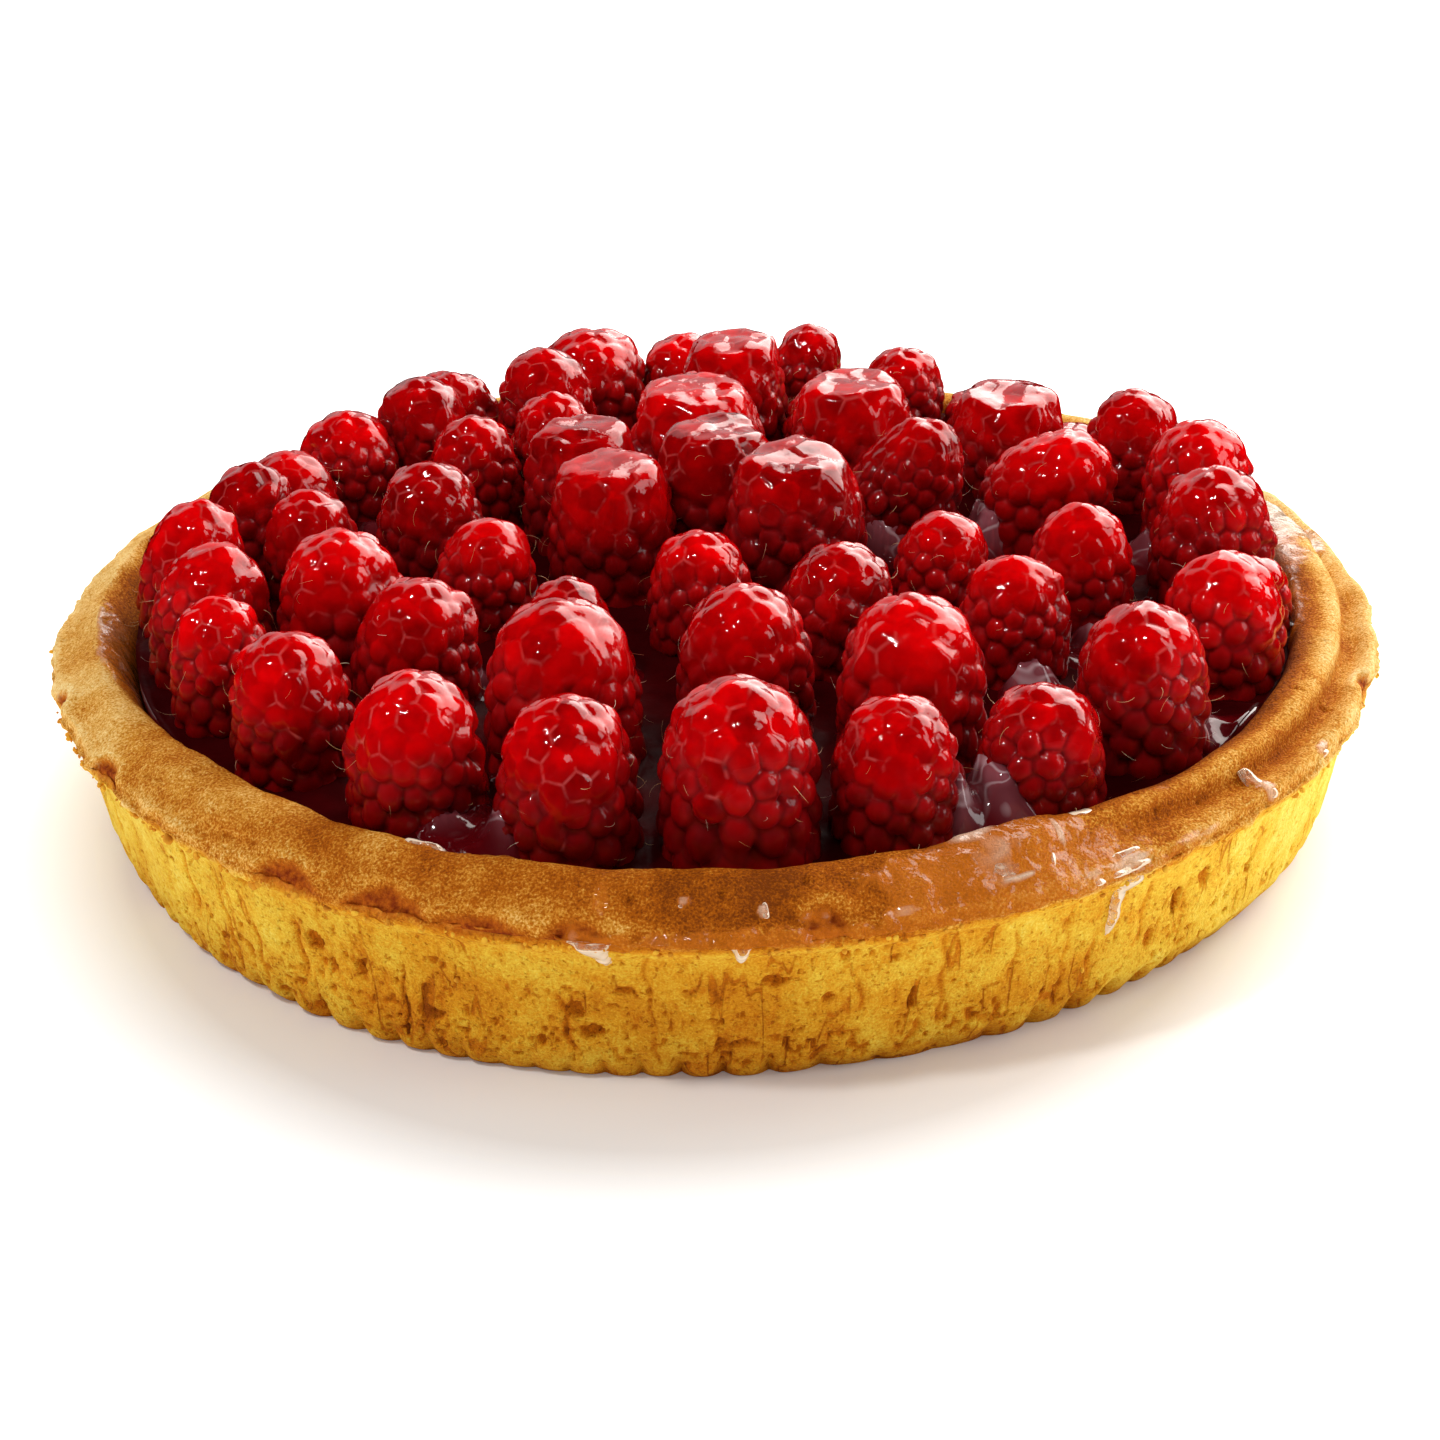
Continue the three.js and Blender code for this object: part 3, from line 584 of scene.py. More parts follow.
def shortcrustMaterial():
    # Baked shortcrust: butter pastry pressed in a tin, so its wall is yellow and crumbly and its top brown.
    # It gives the eye a matte, sandy surface with toasted specks, and a wet shine where glaze has run.
    material, tree, where = startMaterial("bakedShortcrust")
    read = readAttributes(tree, "browningAndPaintedShade", "paintedReliefLight", "wet", "milkAndHighlight", "baked", "hollow", "shade")
    # a noise's scale is 1 over its size; real grain is nearer 0.2 mm, drawn coarser here to show
    grain = addNode(tree, "TexNoise", {"Vector": where, "Scale": 1 / (0.38 * mm), "Detail": 2,
                                       "Roughness": 0.6})
    patches = addNode(tree, "TexNoise", {"Vector": where, "Scale": 1 / (9 * mm), "Detail": 4,
                                         "Roughness": 0.6})
    specks = addNode(tree, "TexNoise", {"Vector": where, "Scale": 1 / (1.1 * mm), "Detail": 2})
    pores = addNode(tree, "TexNoise", {"Vector": where, "Scale": 1 / (0.8 * mm), "Detail": 1})
    opened = addNode(tree, "MapRange", {"Value": pores, "From Min": 0.64, "From Max": 0.72})
    onWall = addNode(tree, "Math", {0: 1, 1: read["baked"]}, operation="SUBTRACT")
    pore = addNode(tree, "Math", {0: opened, 1: onWall}, operation="MULTIPLY")

    level = read["browningAndPaintedShade"]
    # fine upright cracks in the wall, some 4 mm apart, where the tin's lining had its folds
    drawn = addNode(tree, "VectorMath", {0: where, 1: (1, 1, 0.12)}, operation="MULTIPLY")
    strand = addNode(tree, "TexNoise", {"Vector": drawn, "Scale": 1 / (4 * mm), "Detail": 1})
    beside = addNode(tree, "Math", {0: strand, 1: 0.5}, operation="SUBTRACT")
    beside = addNode(tree, "Math", {0: beside}, operation="ABSOLUTE")
    crack = addNode(tree, "MapRange", {"Value": beside, "From Min": 0.008, "From Max": 0.026, "To Min": 1,
                                       "To Max": 0})
    some = addNode(tree, "MapRange", {"Value": patches, "From Min": 0.47, "From Max": 0.56})
    crack = addNode(tree, "Math", {0: crack, 1: some}, operation="MULTIPLY")
    crack = addNode(tree, "Math", {0: crack, 1: onWall}, operation="MULTIPLY")
    # the sandy grain shows more on the baked top than on the wall
    grainShare = addNode(tree, "MapRange", {"Value": read["baked"], "To Min": 0.55, "To Max": 1.2})
    sandy = addNode(tree, "Math", {0: grain, 1: 0.5}, operation="SUBTRACT")
    sandy = addNode(tree, "Math", {0: sandy, 1: grainShare}, operation="MULTIPLY")
    # the relief adds painted shade where low and painted highlight where high
    for value, share in ((patches, 0.75), (specks, 0.26), (sandy, 1), (pore, 0.16),
                         (read["paintedReliefLight"], -0.26), (crack, 0.2)):
        level = addNode(tree, "Math", {0: value, 1: share, 2: level}, operation="MULTIPLY_ADD")
    level = addNode(tree, "Math", {0: level, 1: 0.505}, operation="SUBTRACT")
    wall = addNode(tree, "ValToRGB", {"Fac": level}, stops=[
        (0, "#FFE66C"), (0.2, "#F8CE42"), (0.42, "#E9A220"), (0.65, "#D07408"), (1, "#944604")])
    top = addNode(tree, "ValToRGB", {"Fac": level}, stops=[
        (0, "#FFE09C"), (0.2, "#F4C26C"), (0.42, "#DA9430"), (0.65, "#B85E04"), (1, "#7C3800")])
    dry = addNode(tree, "Mix", {"Factor": read["baked"], "A": wall, "B": top}, data_type="RGBA")
    # painted shade darkens the torn dough's colour inside the hollows
    shadedInside = addNode(tree, "Math", {0: read["shade"], 1: -0.3, 2: specks}, operation="MULTIPLY_ADD")
    raw = addNode(tree, "ValToRGB", {"Fac": shadedInside}, stops=[
        (0.12, "#8A3206"), (0.4, "#C05E0E"), (0.7, "#E48E2A")])
    torn = addNode(tree, "Mix", {"Factor": read["hollow"], "A": dry, "B": raw}, data_type="RGBA")
    soak = addNode(tree, "Math", {0: read["wet"], 1: 0.55}, operation="MULTIPLY")
    soaked = addNode(tree, "Mix", {"Factor": soak, "A": torn, "B": hexColour("#D8740C")}, data_type="RGBA")
    # cream-white glaze, partly its own colour and partly painted highlight, has folds 4.5 mm apart
    fold = addNode(tree, "TexNoise", {"Vector": where, "Scale": 1 / (4.5 * mm), "Detail": 1,
                                      "Distortion": 0.6})
    folded = addNode(tree, "Math", {0: fold, 1: 0.6, 2: read["milkAndHighlight"]}, operation="MULTIPLY_ADD")
    milkAndHighlightCover = addNode(tree, "MapRange", {"Value": folded, "From Min": 0.5, "From Max": 1.3, "To Max": 0.9})
    milkAndHighlightCover = addNode(tree, "Math", {0: milkAndHighlightCover, 1: read["wet"]}, operation="MULTIPLY")
    colour = addNode(tree, "Mix", {"Factor": milkAndHighlightCover, "A": soaked, "B": hexColour("#F0D8C0")},
                     data_type="RGBA")
    bumpy = addNode(tree, "Math", {0: specks, 1: 0.8, 2: grain}, operation="MULTIPLY_ADD")
    holed = addNode(tree, "Math", {0: pore, 1: -0.7, 2: bumpy}, operation="MULTIPLY_ADD")
    holed = addNode(tree, "Math", {0: crack, 1: -0.8, 2: holed}, operation="MULTIPLY_ADD")
    rough = addNode(tree, "MapRange", {"Value": read["wet"], "To Min": 0.8, "To Max": 0.4})
    flow = addNode(tree, "Bump", {"Height": patches, "Strength": 0.5, "Distance": 3 * mm})
    flow = addNode(tree, "Bump", {"Height": fold, "Strength": 0.9, "Distance": 1.8 * mm, "Normal": flow})
    shine = addNode(tree, "Math", {0: read["wet"], 1: 0.9}, operation="MULTIPLY")
    bump = addNode(tree, "Bump", {"Height": holed, "Strength": 0.8, "Distance": 0.6 * mm})
    shader = addNode(tree, "BsdfPrincipled", {
        "Base Color": colour, "Roughness": rough, "IOR": 1.45, "Normal": bump, "Specular IOR Level": 0.12,
        "Coat Weight": shine, "Coat Roughness": 0.06, "Coat IOR": 1.45, "Coat Normal": flow})
    addNode(tree, "OutputMaterial", {"Surface": shader})
    return material


# the raspberries

berryShape = {
    "drupeletShare": 0.235,      # a drupelet's width as a share of the berry's
    "drupelet": (4.2, 5.6),      # mm, no less and no more
    "ball": 0.71,                # a drupelet's ball radius, as a share of its width
    "ballSpread": (0.94, 1.06),  # by how much that varies
    "lift": 0.17,                # mm that a drupelet stands in or out
    "tilt": 0.11,                # how much its face leans
    "splits": 4,                 # finer drupelets with more
    "wideDrupelet": 5.45,        # mm; wider ones get one split more
    "settle": 26,                # rounds of evening out
    "bodyPower": 20,             # with more, the body keeps closer to its solid's flats
    "bodyScale": 1.09,
    "middleAt": 0.48,            # share of its height
    "waist": (0.1, 0.42),        # shares of its height between which it is as wide as its foot
    "footSpread": 1.02,
    "footBelow": 2.5,            # mm under its solid
    "flatTopped": ["raspberry_%02d" % number for number in range(38, 46)],
    "flatScale": 1.07,           # their body's scale
    "glazeFrom": (0.56, 0.76),   # shares of the height between which glaze begins to fill the creases
    "glazeFill": 0.8,            # how high it stands in the creases, as a share of a drupelet's ball
    "flatGlazeFill": 0.87,
    "runChance": 0.6,            # that glaze has run down a side
    "runHeight": 0.55,           # mm
    "seed": 31,
}

hairShape = {
    "share": 0.34,       # of the drupelets that keep their hair
    "length": (1.6, 4),  # mm
    "radius": 0.055,     # mm at the root
    "lowest": 27,        # mm above the floor, none under that
    "steepest": 0.75,    # none where the berry faces up more than that
    "pieces": 5,
    "seed": 53,
}


def hullOf(points):
    # triangles of the convex hull, facing out
    bm = bmesh.new()
    for point in points:
        bm.verts.new(point)
    bm.verts.ensure_lookup_table()
    made = bmesh.ops.convex_hull(bm, input=bm.verts)
    spare = [item for item in made["geom_interior"] if isinstance(item, bmesh.types.BMVert)]
    bmesh.ops.delete(bm, geom=spare, context="VERTS")
    bm.verts.index_update()
    bmesh.ops.triangulate(bm, faces=bm.faces)
    corners = np.array([vert.co[:] for vert in bm.verts])
    faces = np.array([[vert.index for vert in face.verts] for face in bm.faces])
    bm.free()
    return corners, faces


def bodyReach(points, middle, power, scale):
    # a function from directions to how far the berry's smooth body reaches that way, and the body's area
    corners, faces = hullOf(points - middle)
    a, b, c = (corners[faces[:, i]] for i in range(3))
    normals = np.cross(b - a, c - a)
    size = np.linalg.norm(normals, axis=1)
    keep = size > 1e-6
    normals = normals[keep] / size[keep, None]
    depths = np.einsum("ij,ij->i", normals, a[keep])
    flip = depths < 0
    normals[flip] *= -1
    depths = np.abs(depths)
    planes = []
    for normal, depth in zip(normals, depths):
        if not any(np.dot(normal, n) > 0.997 and abs(depth - d) < 0.2 for n, d in planes):
            planes.append((normal, depth))
    normals = np.array([n for n, _ in planes])
    depths = np.array([d for _, d in planes])

    def reach(directions):
        facing = np.maximum(0, directions @ normals.T) / depths
        return scale * (facing ** power).sum(1) ** (-1 / power)

    return reach, 0.5 * size.sum()


def spreadSeeds(reach, count, drupelet, rng):
    # drupelet middles over the body, evened out so that each keeps its distance from the next
    index = np.arange(count) + 0.5
    polar = np.arccos(1 - 2 * index / count)
    turn = index * math.pi * (3 - math.sqrt(5)) + rng.uniform(0, 6)
    ways = np.stack([np.sin(polar) * np.cos(turn), np.sin(polar) * np.sin(turn), np.cos(polar)], -1)
    ways += rng.normal(0, 0.05, ways.shape)
    ways /= np.linalg.norm(ways, axis=1)[:, None]
    spacing = drupelet * rng.uniform(0.78, 1.2, count)
    for _ in range(berryShape["settle"]):
        seeds = ways * reach(ways)[:, None]
        apart = seeds[:, None] - seeds[None]
        distance = np.linalg.norm(apart, axis=-1) + np.eye(count) * 1e3
        wanted = 0.5 * (spacing[:, None] + spacing[None]) * 1.15
        push = np.maximum(0, wanted - distance) / distance
        seeds = seeds + 0.35 * (apart * push[..., None]).sum(1)
        ways = seeds / np.linalg.norm(seeds, axis=1)[:, None]
    return ways


def drupeletMesh(ways, splits):
    # each drupelet is a fan from its middle to the creases round it; gives the middles' directions, every
    # point's direction, the triangles, and how near each point is to a crease, from 0 in the middle to 1
    corners, faces = hullOf(ways)
    creases = corners[faces].mean(1)
    creases /= np.linalg.norm(creases, axis=1)[:, None]
    # for every side of every hull triangle, the triangle across it
    sides = {}
    for number, face in enumerate(faces):
        for i in range(3):
            sides[(face[i], face[(i + 1) % 3])] = number
    fans = []
    for (start, end), number in sides.items():
        across = sides[(end, start)]
        fans.append((corners[start], creases[across], creases[number]))
    fans = np.array(fans)
    rings = np.linspace(0, 1, splits + 1) ** 0.8
    weights, index = [], {}
    for i in range(splits + 1):
        for j in range(i + 1):
            along = j / i if i else 0
            index[i, j] = len(weights)
            weights.append((1 - rings[i], rings[i] * (1 - along), rings[i] * along))
    cells = []
    for i in range(splits):
        for j in range(i + 1):
            cells.append((index[i, j], index[i + 1, j], index[i + 1, j + 1]))
            if j < i:
                cells.append((index[i, j], index[i + 1, j + 1], index[i, j + 1]))
    weights, cells = np.array(weights), np.array(cells)
    directions = np.einsum("wk,fkd->fwd", weights, fans).reshape(-1, 3)
    directions /= np.linalg.norm(directions, axis=1)[:, None]
    triangles = (cells[None] + (np.arange(len(fans)) * len(weights))[:, None, None]).reshape(-1, 3)
    crease = np.tile(1 - weights[:, 0], len(fans))
    _, first, inverse = np.unique(np.round(directions, 5), axis=0, return_index=True, return_inverse=True)
    triangles = inverse.reshape(-1)[triangles]
    a, b, c = triangles.T
    return corners, directions[first], triangles[(a != b) & (b != c) & (a != c)], crease[first]


def makeRaspberry(name, node, material, rng):
    shape = berryShape
    points = np.array([vertex.co for vertex in node.data.vertices]) / mm
    low, high = points.min(0), points.max(0)
    middle = np.array([*(0.5 * (low + high))[:2], low[2] + shape["middleAt"] * (high[2] - low[2])])
    flat = node.name in shape["flatTopped"]
    # a berry stands on a full foot, as wide as its waist
    tall = high[2] - low[2]
    lowWaist, highWaist = (low[2] + share * tall for share in shape["waist"])
    waist = points[(points[:, 2] > lowWaist) & (points[:, 2] < highWaist)]
    spread = middle[:2] + shape["footSpread"] * (waist[:, :2] - middle[:2])
    foot = np.column_stack([spread, np.full(len(waist), low[2] - shape["footBelow"])])
    scale = shape["flatScale"] if flat else shape["bodyScale"]
    reach, area = bodyReach(np.concatenate([points, foot]), middle, shape["bodyPower"], scale)
    wide = min(high[0] - low[0], high[1] - low[1])
    drupelet = float(np.clip(shape["drupeletShare"] * wide, *shape["drupelet"]))
    count = int(area / (0.866 * drupelet ** 2))  # packed like honeycomb
    ways = spreadSeeds(reach, count, drupelet, rng)
    splits = shape["splits"] + (drupelet > shape["wideDrupelet"])
    seedWays, directions, triangles, crease = drupeletMesh(ways, splits)
    seeds = seedWays * reach(seedWays)[:, None]
    base = directions * reach(directions)[:, None]
    distance = np.linalg.norm(base[:, None] - seeds[None], axis=-1)
    nearest, rho = distance.argmin(1), distance.min(1)
    ball = shape["ball"] * drupelet * rng.uniform(*shape["ballSpread"], len(seeds))[nearest]
    lift = (shape["lift"] * rng.normal(0, 1, len(seeds)))[nearest]
    tilt = rng.normal(0, shape["tilt"], (len(seeds), 3))[nearest]
    lift = lift + np.einsum("ij,ij->i", base - seeds[nearest], tilt)
    dome = np.sqrt(np.maximum(1 - (rho / ball) ** 2, 0))  # 1 on top, less towards the creases
    # glaze has run over the top and fills its creases
    run = rng.uniform(0, 2 * math.pi)
    share = (base[:, 2] + middle[2] - low[2]) / (high[2] - low[2])
    share = share + 0.1 * lumps(base + middle, 7, 3) + 0.05 * lumps(base + middle, 2.5, 5)
    share = share + 0.14 * (directions @ np.array([math.cos(run), math.sin(run), 0]))
    # some of it has run down one side in a thick line
    side = math.radians(rng.uniform(-110, 20))
    bearing = np.arctan2(directions[:, 1], directions[:, 0]) + 0.12 * np.sin(0.9 * base[:, 2] + run)
    away = (bearing - side + math.pi) % (2 * math.pi) - math.pi
    streak = peak(away, 0.16) * (directions[:, 2] < 0.75) * smoothShare(share, 0.12, 0.5)
    streak = streak * (rng.random() < shape["runChance"])
    glazed = np.maximum(smoothShare(share, *shape["glazeFrom"]), smoothShare(streak, 0.15, 0.6))
    level = smoothShare(directions[:, 2], 0.5, 0.8) * flat
    thick = shape["flatGlazeFill"] if flat else shape["glazeFill"] + 0.07 * math.cos(run)
    fill = (thick + 0.11 * level) * glazed
    filled = np.log1p(np.exp((dome - fill) / 0.05)) * 0.05 + fill
    filled = glazed * filled + (1 - glazed) * dome
    raised = ball * (filled - 1) * (1 - 0.42 * glazed) + lift * (1 - 0.6 * glazed)
    surface = base + middle
    raised = raised + glazed * (0.3 * lumps(surface, 5, 4) + 0.03 * lumps(surface, 1.7, 6))
    raised = raised + shape["runHeight"] * streak * (1 + 0.5 * lumps(surface, 2.2, 8))
    if flat:
        raised = raised + level * (0.8 * lumps(surface, 6, 9) + 0.25 * lumps(surface, 2.6, 10) - 0.1)
    final = directions * (reach(directions) + raised)[:, None] + middle
    top = np.array(cadBox[1])[2] / mm
    final[:, 2] = np.minimum(final[:, 2], top - 0.05)  # a little under the CAD's top
    tone = rng.uniform(0, 1, len(seeds))[nearest]
    # the berries on the right are less ripe, and the flat-topped ones riper
    ripe = rng.uniform(0, 1) - 0.35 * smoothShare(middle[0], 20, 90) + 0.35 * flat
    ripe = np.full(len(final), np.clip(ripe, 0, 1))
    # how near the foot each point is, for the painted shade there
    foot = 1 - smoothShare(surface[:, 2], low[2] + 0.2 * tall, low[2] + 1.0 * tall)
    attributes = {"foot": foot, "crease": crease, "tone": tone, "ripe": ripe, "glazed": glazed}
    piece = makePiece(name, final, triangles, material, attributes, [node.name])
    # what hairs and jelly need to know of this berry
    seedShare = (seeds[:, 2] + middle[2] - low[2]) / (high[2] - low[2])
    roots = seeds + middle
    return piece, {"points": final, "roots": roots, "ways": seedWays, "share": seedShare}


def raspberryMaterial():
    # Ripe raspberry under clear sugar glaze: translucent flesh in thin skins with a wet coat.
    # It gives the eye a deep red that glows where light enters, pale lines where glaze fills the creases,
    # and sharp wet lights.
    material, tree, where = startMaterial("glazedRaspberry")
    read = readAttributes(tree, "foot", "crease", "tone", "ripe", "glazed")
    cloudy = addNode(tree, "TexNoise", {"Vector": where, "Scale": 1 / (3.5 * mm), "Detail": 3})
    mixed = addNode(tree, "Math", {0: read["tone"], 1: 0.3, 2: cloudy}, operation="MULTIPLY_ADD")
    riper = addNode(tree, "Math", {0: read["ripe"], 1: 0.45, 2: mixed}, operation="MULTIPLY_ADD")
    level = addNode(tree, "Math", {0: riper, 1: 0.36}, operation="SUBTRACT")
    flesh = addNode(tree, "ValToRGB", {"Fac": level}, stops=[
        (0, "#FF0206"), (0.35, "#DC0004"), (0.7, "#AC0003"), (1, "#7C0002")])
    # painted shade darkens the creases below, and pale lines of glaze fill them on top
    line = addNode(tree, "MapRange", {"Value": read["crease"], "From Min": 0.84, "From Max": 0.99})
    # light comes through the thin edge of each drupelet
    edge = addNode(tree, "MapRange", {"Value": read["crease"], "From Min": 0.3, "From Max": 0.8,
                                      "To Max": 0.3})
    bare = addNode(tree, "Math", {0: 1, 1: read["glazed"]}, operation="SUBTRACT")
    edge = addNode(tree, "Math", {0: edge, 1: bare}, operation="MULTIPLY")
    flesh = addNode(tree, "Mix", {"Factor": edge, "A": flesh, "B": hexColour("#F02A30")}, data_type="RGBA")
    shade = addNode(tree, "MapRange", {"Value": read["crease"], "From Min": 0.7, "From Max": 1,
                                       "To Max": 0.6})
    darker = addNode(tree, "Math", {0: shade, 1: bare}, operation="MULTIPLY")
    dark = addNode(tree, "Mix", {"Factor": darker, "A": flesh, "B": hexColour("#4A0206")},
                   data_type="RGBA")
    # painted shade, darker towards the foot, where the neighbours shade it
    soaked = addNode(tree, "Math", {0: read["foot"], 1: 0.72}, operation="MULTIPLY")
    dark = addNode(tree, "Mix", {"Factor": soaked, "A": dark, "B": hexColour("#480003")}, data_type="RGBA")
    broken = addNode(tree, "MapRange", {"Value": cloudy, "From Min": 0.48, "From Max": 0.62})
    paler = addNode(tree, "Math", {0: line, 1: read["glazed"]}, operation="MULTIPLY")
    paler = addNode(tree, "Math", {0: paler, 1: broken}, operation="MULTIPLY")
    pale = addNode(tree, "Math", {0: paler, 1: 0.5}, operation="MULTIPLY")
    colour = addNode(tree, "Mix", {"Factor": pale, "A": dark, "B": hexColour("#DC5A58")}, data_type="RGBA")
    # ripples 1.4 mm across in the wet coat
    ripple = addNode(tree, "TexNoise", {"Vector": where, "Scale": 1 / (1.4 * mm), "Detail": 2})
    coatBump = addNode(tree, "Bump", {"Height": ripple, "Strength": 0.18, "Distance": 0.5 * mm})
    wet = addNode(tree, "MapRange", {"Value": read["glazed"], "To Min": 0.6, "To Max": 1})
    rough = addNode(tree, "MapRange", {"Value": read["glazed"], "To Min": 0.3, "To Max": 0.14})
    shader = addNode(tree, "BsdfPrincipled", {
        "Base Color": colour, "Roughness": rough, "IOR": 1.4, "Specular IOR Level": 0.15,
        "Subsurface Weight": 0.55, "Subsurface Radius": (1, 0.05, 0.03), "Subsurface Scale": 1.8 * mm,
        "Coat Weight": wet, "Coat Roughness": 0.03, "Coat IOR": 1.45, "Coat Normal": coatBump})
    addNode(tree, "OutputMaterial", {"Surface": shader})
    return material


def makeHairs(material, berries):
    # the dried styles: fine curved hairs, one to a drupelet, left where no glaze has taken them
    shape = hairShape
    rng = np.random.default_rng(shape["seed"])
    points, faces = [], []
    for berry in berries:
        for root, way, share in zip(berry["roots"], berry["ways"], berry["share"]):
            hidden = root[2] < shape["lowest"] or way[2] > shape["steepest"]
            if hidden or rng.random() > shape["share"] * (1.25 - share):
                continue
            side = np.cross(way, rng.normal(0, 1, 3))
            side /= np.linalg.norm(side)
            length = rng.uniform(*shape["length"])
            bend = rng.uniform(0.4, 1.5) * rng.choice([-1, 1])
            lean = rng.uniform(0.2, 1.0)
            spots = []
            heading = way * 0.7 + side * lean
            heading /= np.linalg.norm(heading)
            across = np.cross(heading, way)
            across /= np.linalg.norm(across)
            spot = root - 0.3 * way
            for i in range(shape["pieces"] + 1):
                spots.append(spot)
                spot = spot + heading * length / shape["pieces"]
                heading = heading + bend * across / shape["pieces"] - 0.16 * way
                heading /= np.linalg.norm(heading)
            start = len(points)
            for i, spot in enumerate(spots):
                thin = shape["radius"] * (1 - 0.6 * i / shape["pieces"])
                up = np.cross(heading, across)
                for k in range(3):
                    angle = k * 2 * math.pi / 3
                    points.append(spot + thin * (math.cos(angle) * across + math.sin(angle) * up))
            for i in range(shape["pieces"]):
                for k in range(3):
                    a, b = start + 3 * i + k, start + 3 * i + (k + 1) % 3
                    faces += [(a, b, b + 3), (a, b + 3, a + 3)]
            last = start + 3 * shape["pieces"]
            faces += [(start, start + 2, start + 1), (last, last + 1, last + 2)]
    faces = np.array(faces)
    print("hairs:", len(faces), "triangles")
    return makePiece("driedStyles", np.array(points), faces, material)


def hairMaterial():
    # Dried raspberry style, a fine smooth hair: it gives the eye thin golden lines over the red.
    material, tree, where = startMaterial("driedStyleHair")
    # tone changes every 6 mm, so hairs differ from each other
    tone = addNode(tree, "TexNoise", {"Vector": where, "Scale": 1 / (6 * mm)})
    colour = addNode(tree, "ValToRGB", {"Fac": tone}, stops=[
        (0.3, "#C88C50"), (0.5, "#F0C890"), (0.7, "#FFF0D8")])
    shader = addNode(tree, "BsdfPrincipled", {"Base Color": colour, "Roughness": 0.4, "IOR": 1.5})
    addNode(tree, "OutputMaterial", {"Surface": shader})
    return material


# the filling and its jelly

fillingShape = {
    "level": 26.4,       # mm, between berries
    "cell": 1.3,         # mm
    "steps": 500,
    "climb": 2.6,        # mm that it creeps up a berry
    "reach": 1.5,        # mm over which it does
    "edge": 95.9,        # mm, its own radius
    "footRadius": 90.4,  # mm
    "footLevel": 5.3,    # mm
    "atWall": 1.4,       # mm that it creeps up the crust
    "wallReach": 1.4,    # mm over which it does
    "berriesAt": 28,     # mm, the level at which the berries' outlines are taken
    # jelly standing higher: x, y, radius and rise in mm
    "pools": [(-38, -80, 13, 3), (-27, -84, 8, 3), (37, -78, 9, 3.5), (79, -49, 9, 2.6), (-88, -14, 9, 2.5)],
}

webShape = {
    "cell": 0.9,      # mm
    "steps": 640,
    "footLevel": 23,  # mm
    "sunk": 0.5,      # mm that the body lies under the jelly elsewhere
    "lift": 9,        # mm above the jelly where two berries touch
    "hang": 3.4,      # mm of gap over which a web sinks back to the jelly
    # where webs of glaze hang between berries: x, y, reach in mm, and how much of it
    "places": [(39, -79, 11, 1), (44, -71, 7, 1), (-36, -85, 10, 1), (79, -54, 8, 1), (50.6, -39, 9, 1),
               (44, -48, 7, 1), (46.5, 21.6, 9, 1), (70.8, 14.8, 9, 1), (-59.8, 31.9, 7, 1),
               (-37.2, -28, 8, 1), (40.7, 47.5, 8, 1), (-30.3, -3.8, 7, 1), (-15, -25, 6, 0.6),
               (-8, 62, 8, 1), (18, 12, 7, 0.8), (-70, 8, 7, 0.8), (62, -20, 9, 1), (-20, 40, 7, 0.8),
               (5, 88, 7, 0.8), (60, 62, 8, 1), (-50, -39, 7, 0.7), (-44, 66, 8, 0.8)],
    # skins that stand by themselves: x, y, reach and rise in mm
    "skins": [(38.5, -80, 11, 8), (42, -71, 7, 8), (-35, -86, 10, 4.6), (79, -54.5, 8, 5),
              (50.6, -39, 8, 8), (44, -48, 6, 5.5), (46.5, 21.6, 8, 9), (70.8, 14.8, 8, 9),
              (-59.8, 31.9, 6, 8), (-37.2, -28, 7, 7.5), (40.7, 47.5, 7, 10), (-30.3, -3.8, 5.5, 10),
              (-15, -25, 5.5, 5), (62, -22, 8, 7), (30, 20, 7, 9), (-8, 62, 7, 9), (18, 12, 6, 8),
              (-44, 66, 7, 8), (60, 62, 7, 8), (-20, 40, 6, 9)],
}


def berryOutline(berry, level):
    # how far the berry reaches from its own middle at about that level, by angle
    spots = berry["points"]
    band, fewest, bins = 4, 60, 24  # mm above and below, points needed, angles told apart
    near = spots[(spots[:, 2] > level - band) & (spots[:, 2] < level + band)]
    if len(near) < fewest:
        return None
    middle = near[:, :2].mean(0)
    away = near[:, :2] - middle
    turns = np.arctan2(away[:, 1], away[:, 0])
    far = np.hypot(away[:, 0], away[:, 1])
    slot = ((turns + math.pi) / (2 * math.pi) * bins).astype(int) % bins
    reach = np.array([np.percentile(far[slot == k], 70) if (slot == k).any() else far.mean()
                      for k in range(bins)])
    return middle, reach


def berryGaps(x, y, outlines):
    # distance in mm to the nearest berry and to the second nearest
    gap, second = np.full(x.shape, 1e3), np.full(x.shape, 1e3)
    for middle, reach in outlines:
        dx, dy = x - middle[0], y - middle[1]
        slot = (np.arctan2(dy, dx) + math.pi) / (2 * math.pi) * len(reach) - 0.5
        wide = np.interp(slot, np.arange(len(reach)), reach, period=len(reach))
        away = np.hypot(dx, dy) - wide
        second = np.minimum(second, np.maximum(gap, away))
        gap = np.minimum(gap, away)
    return gap, second


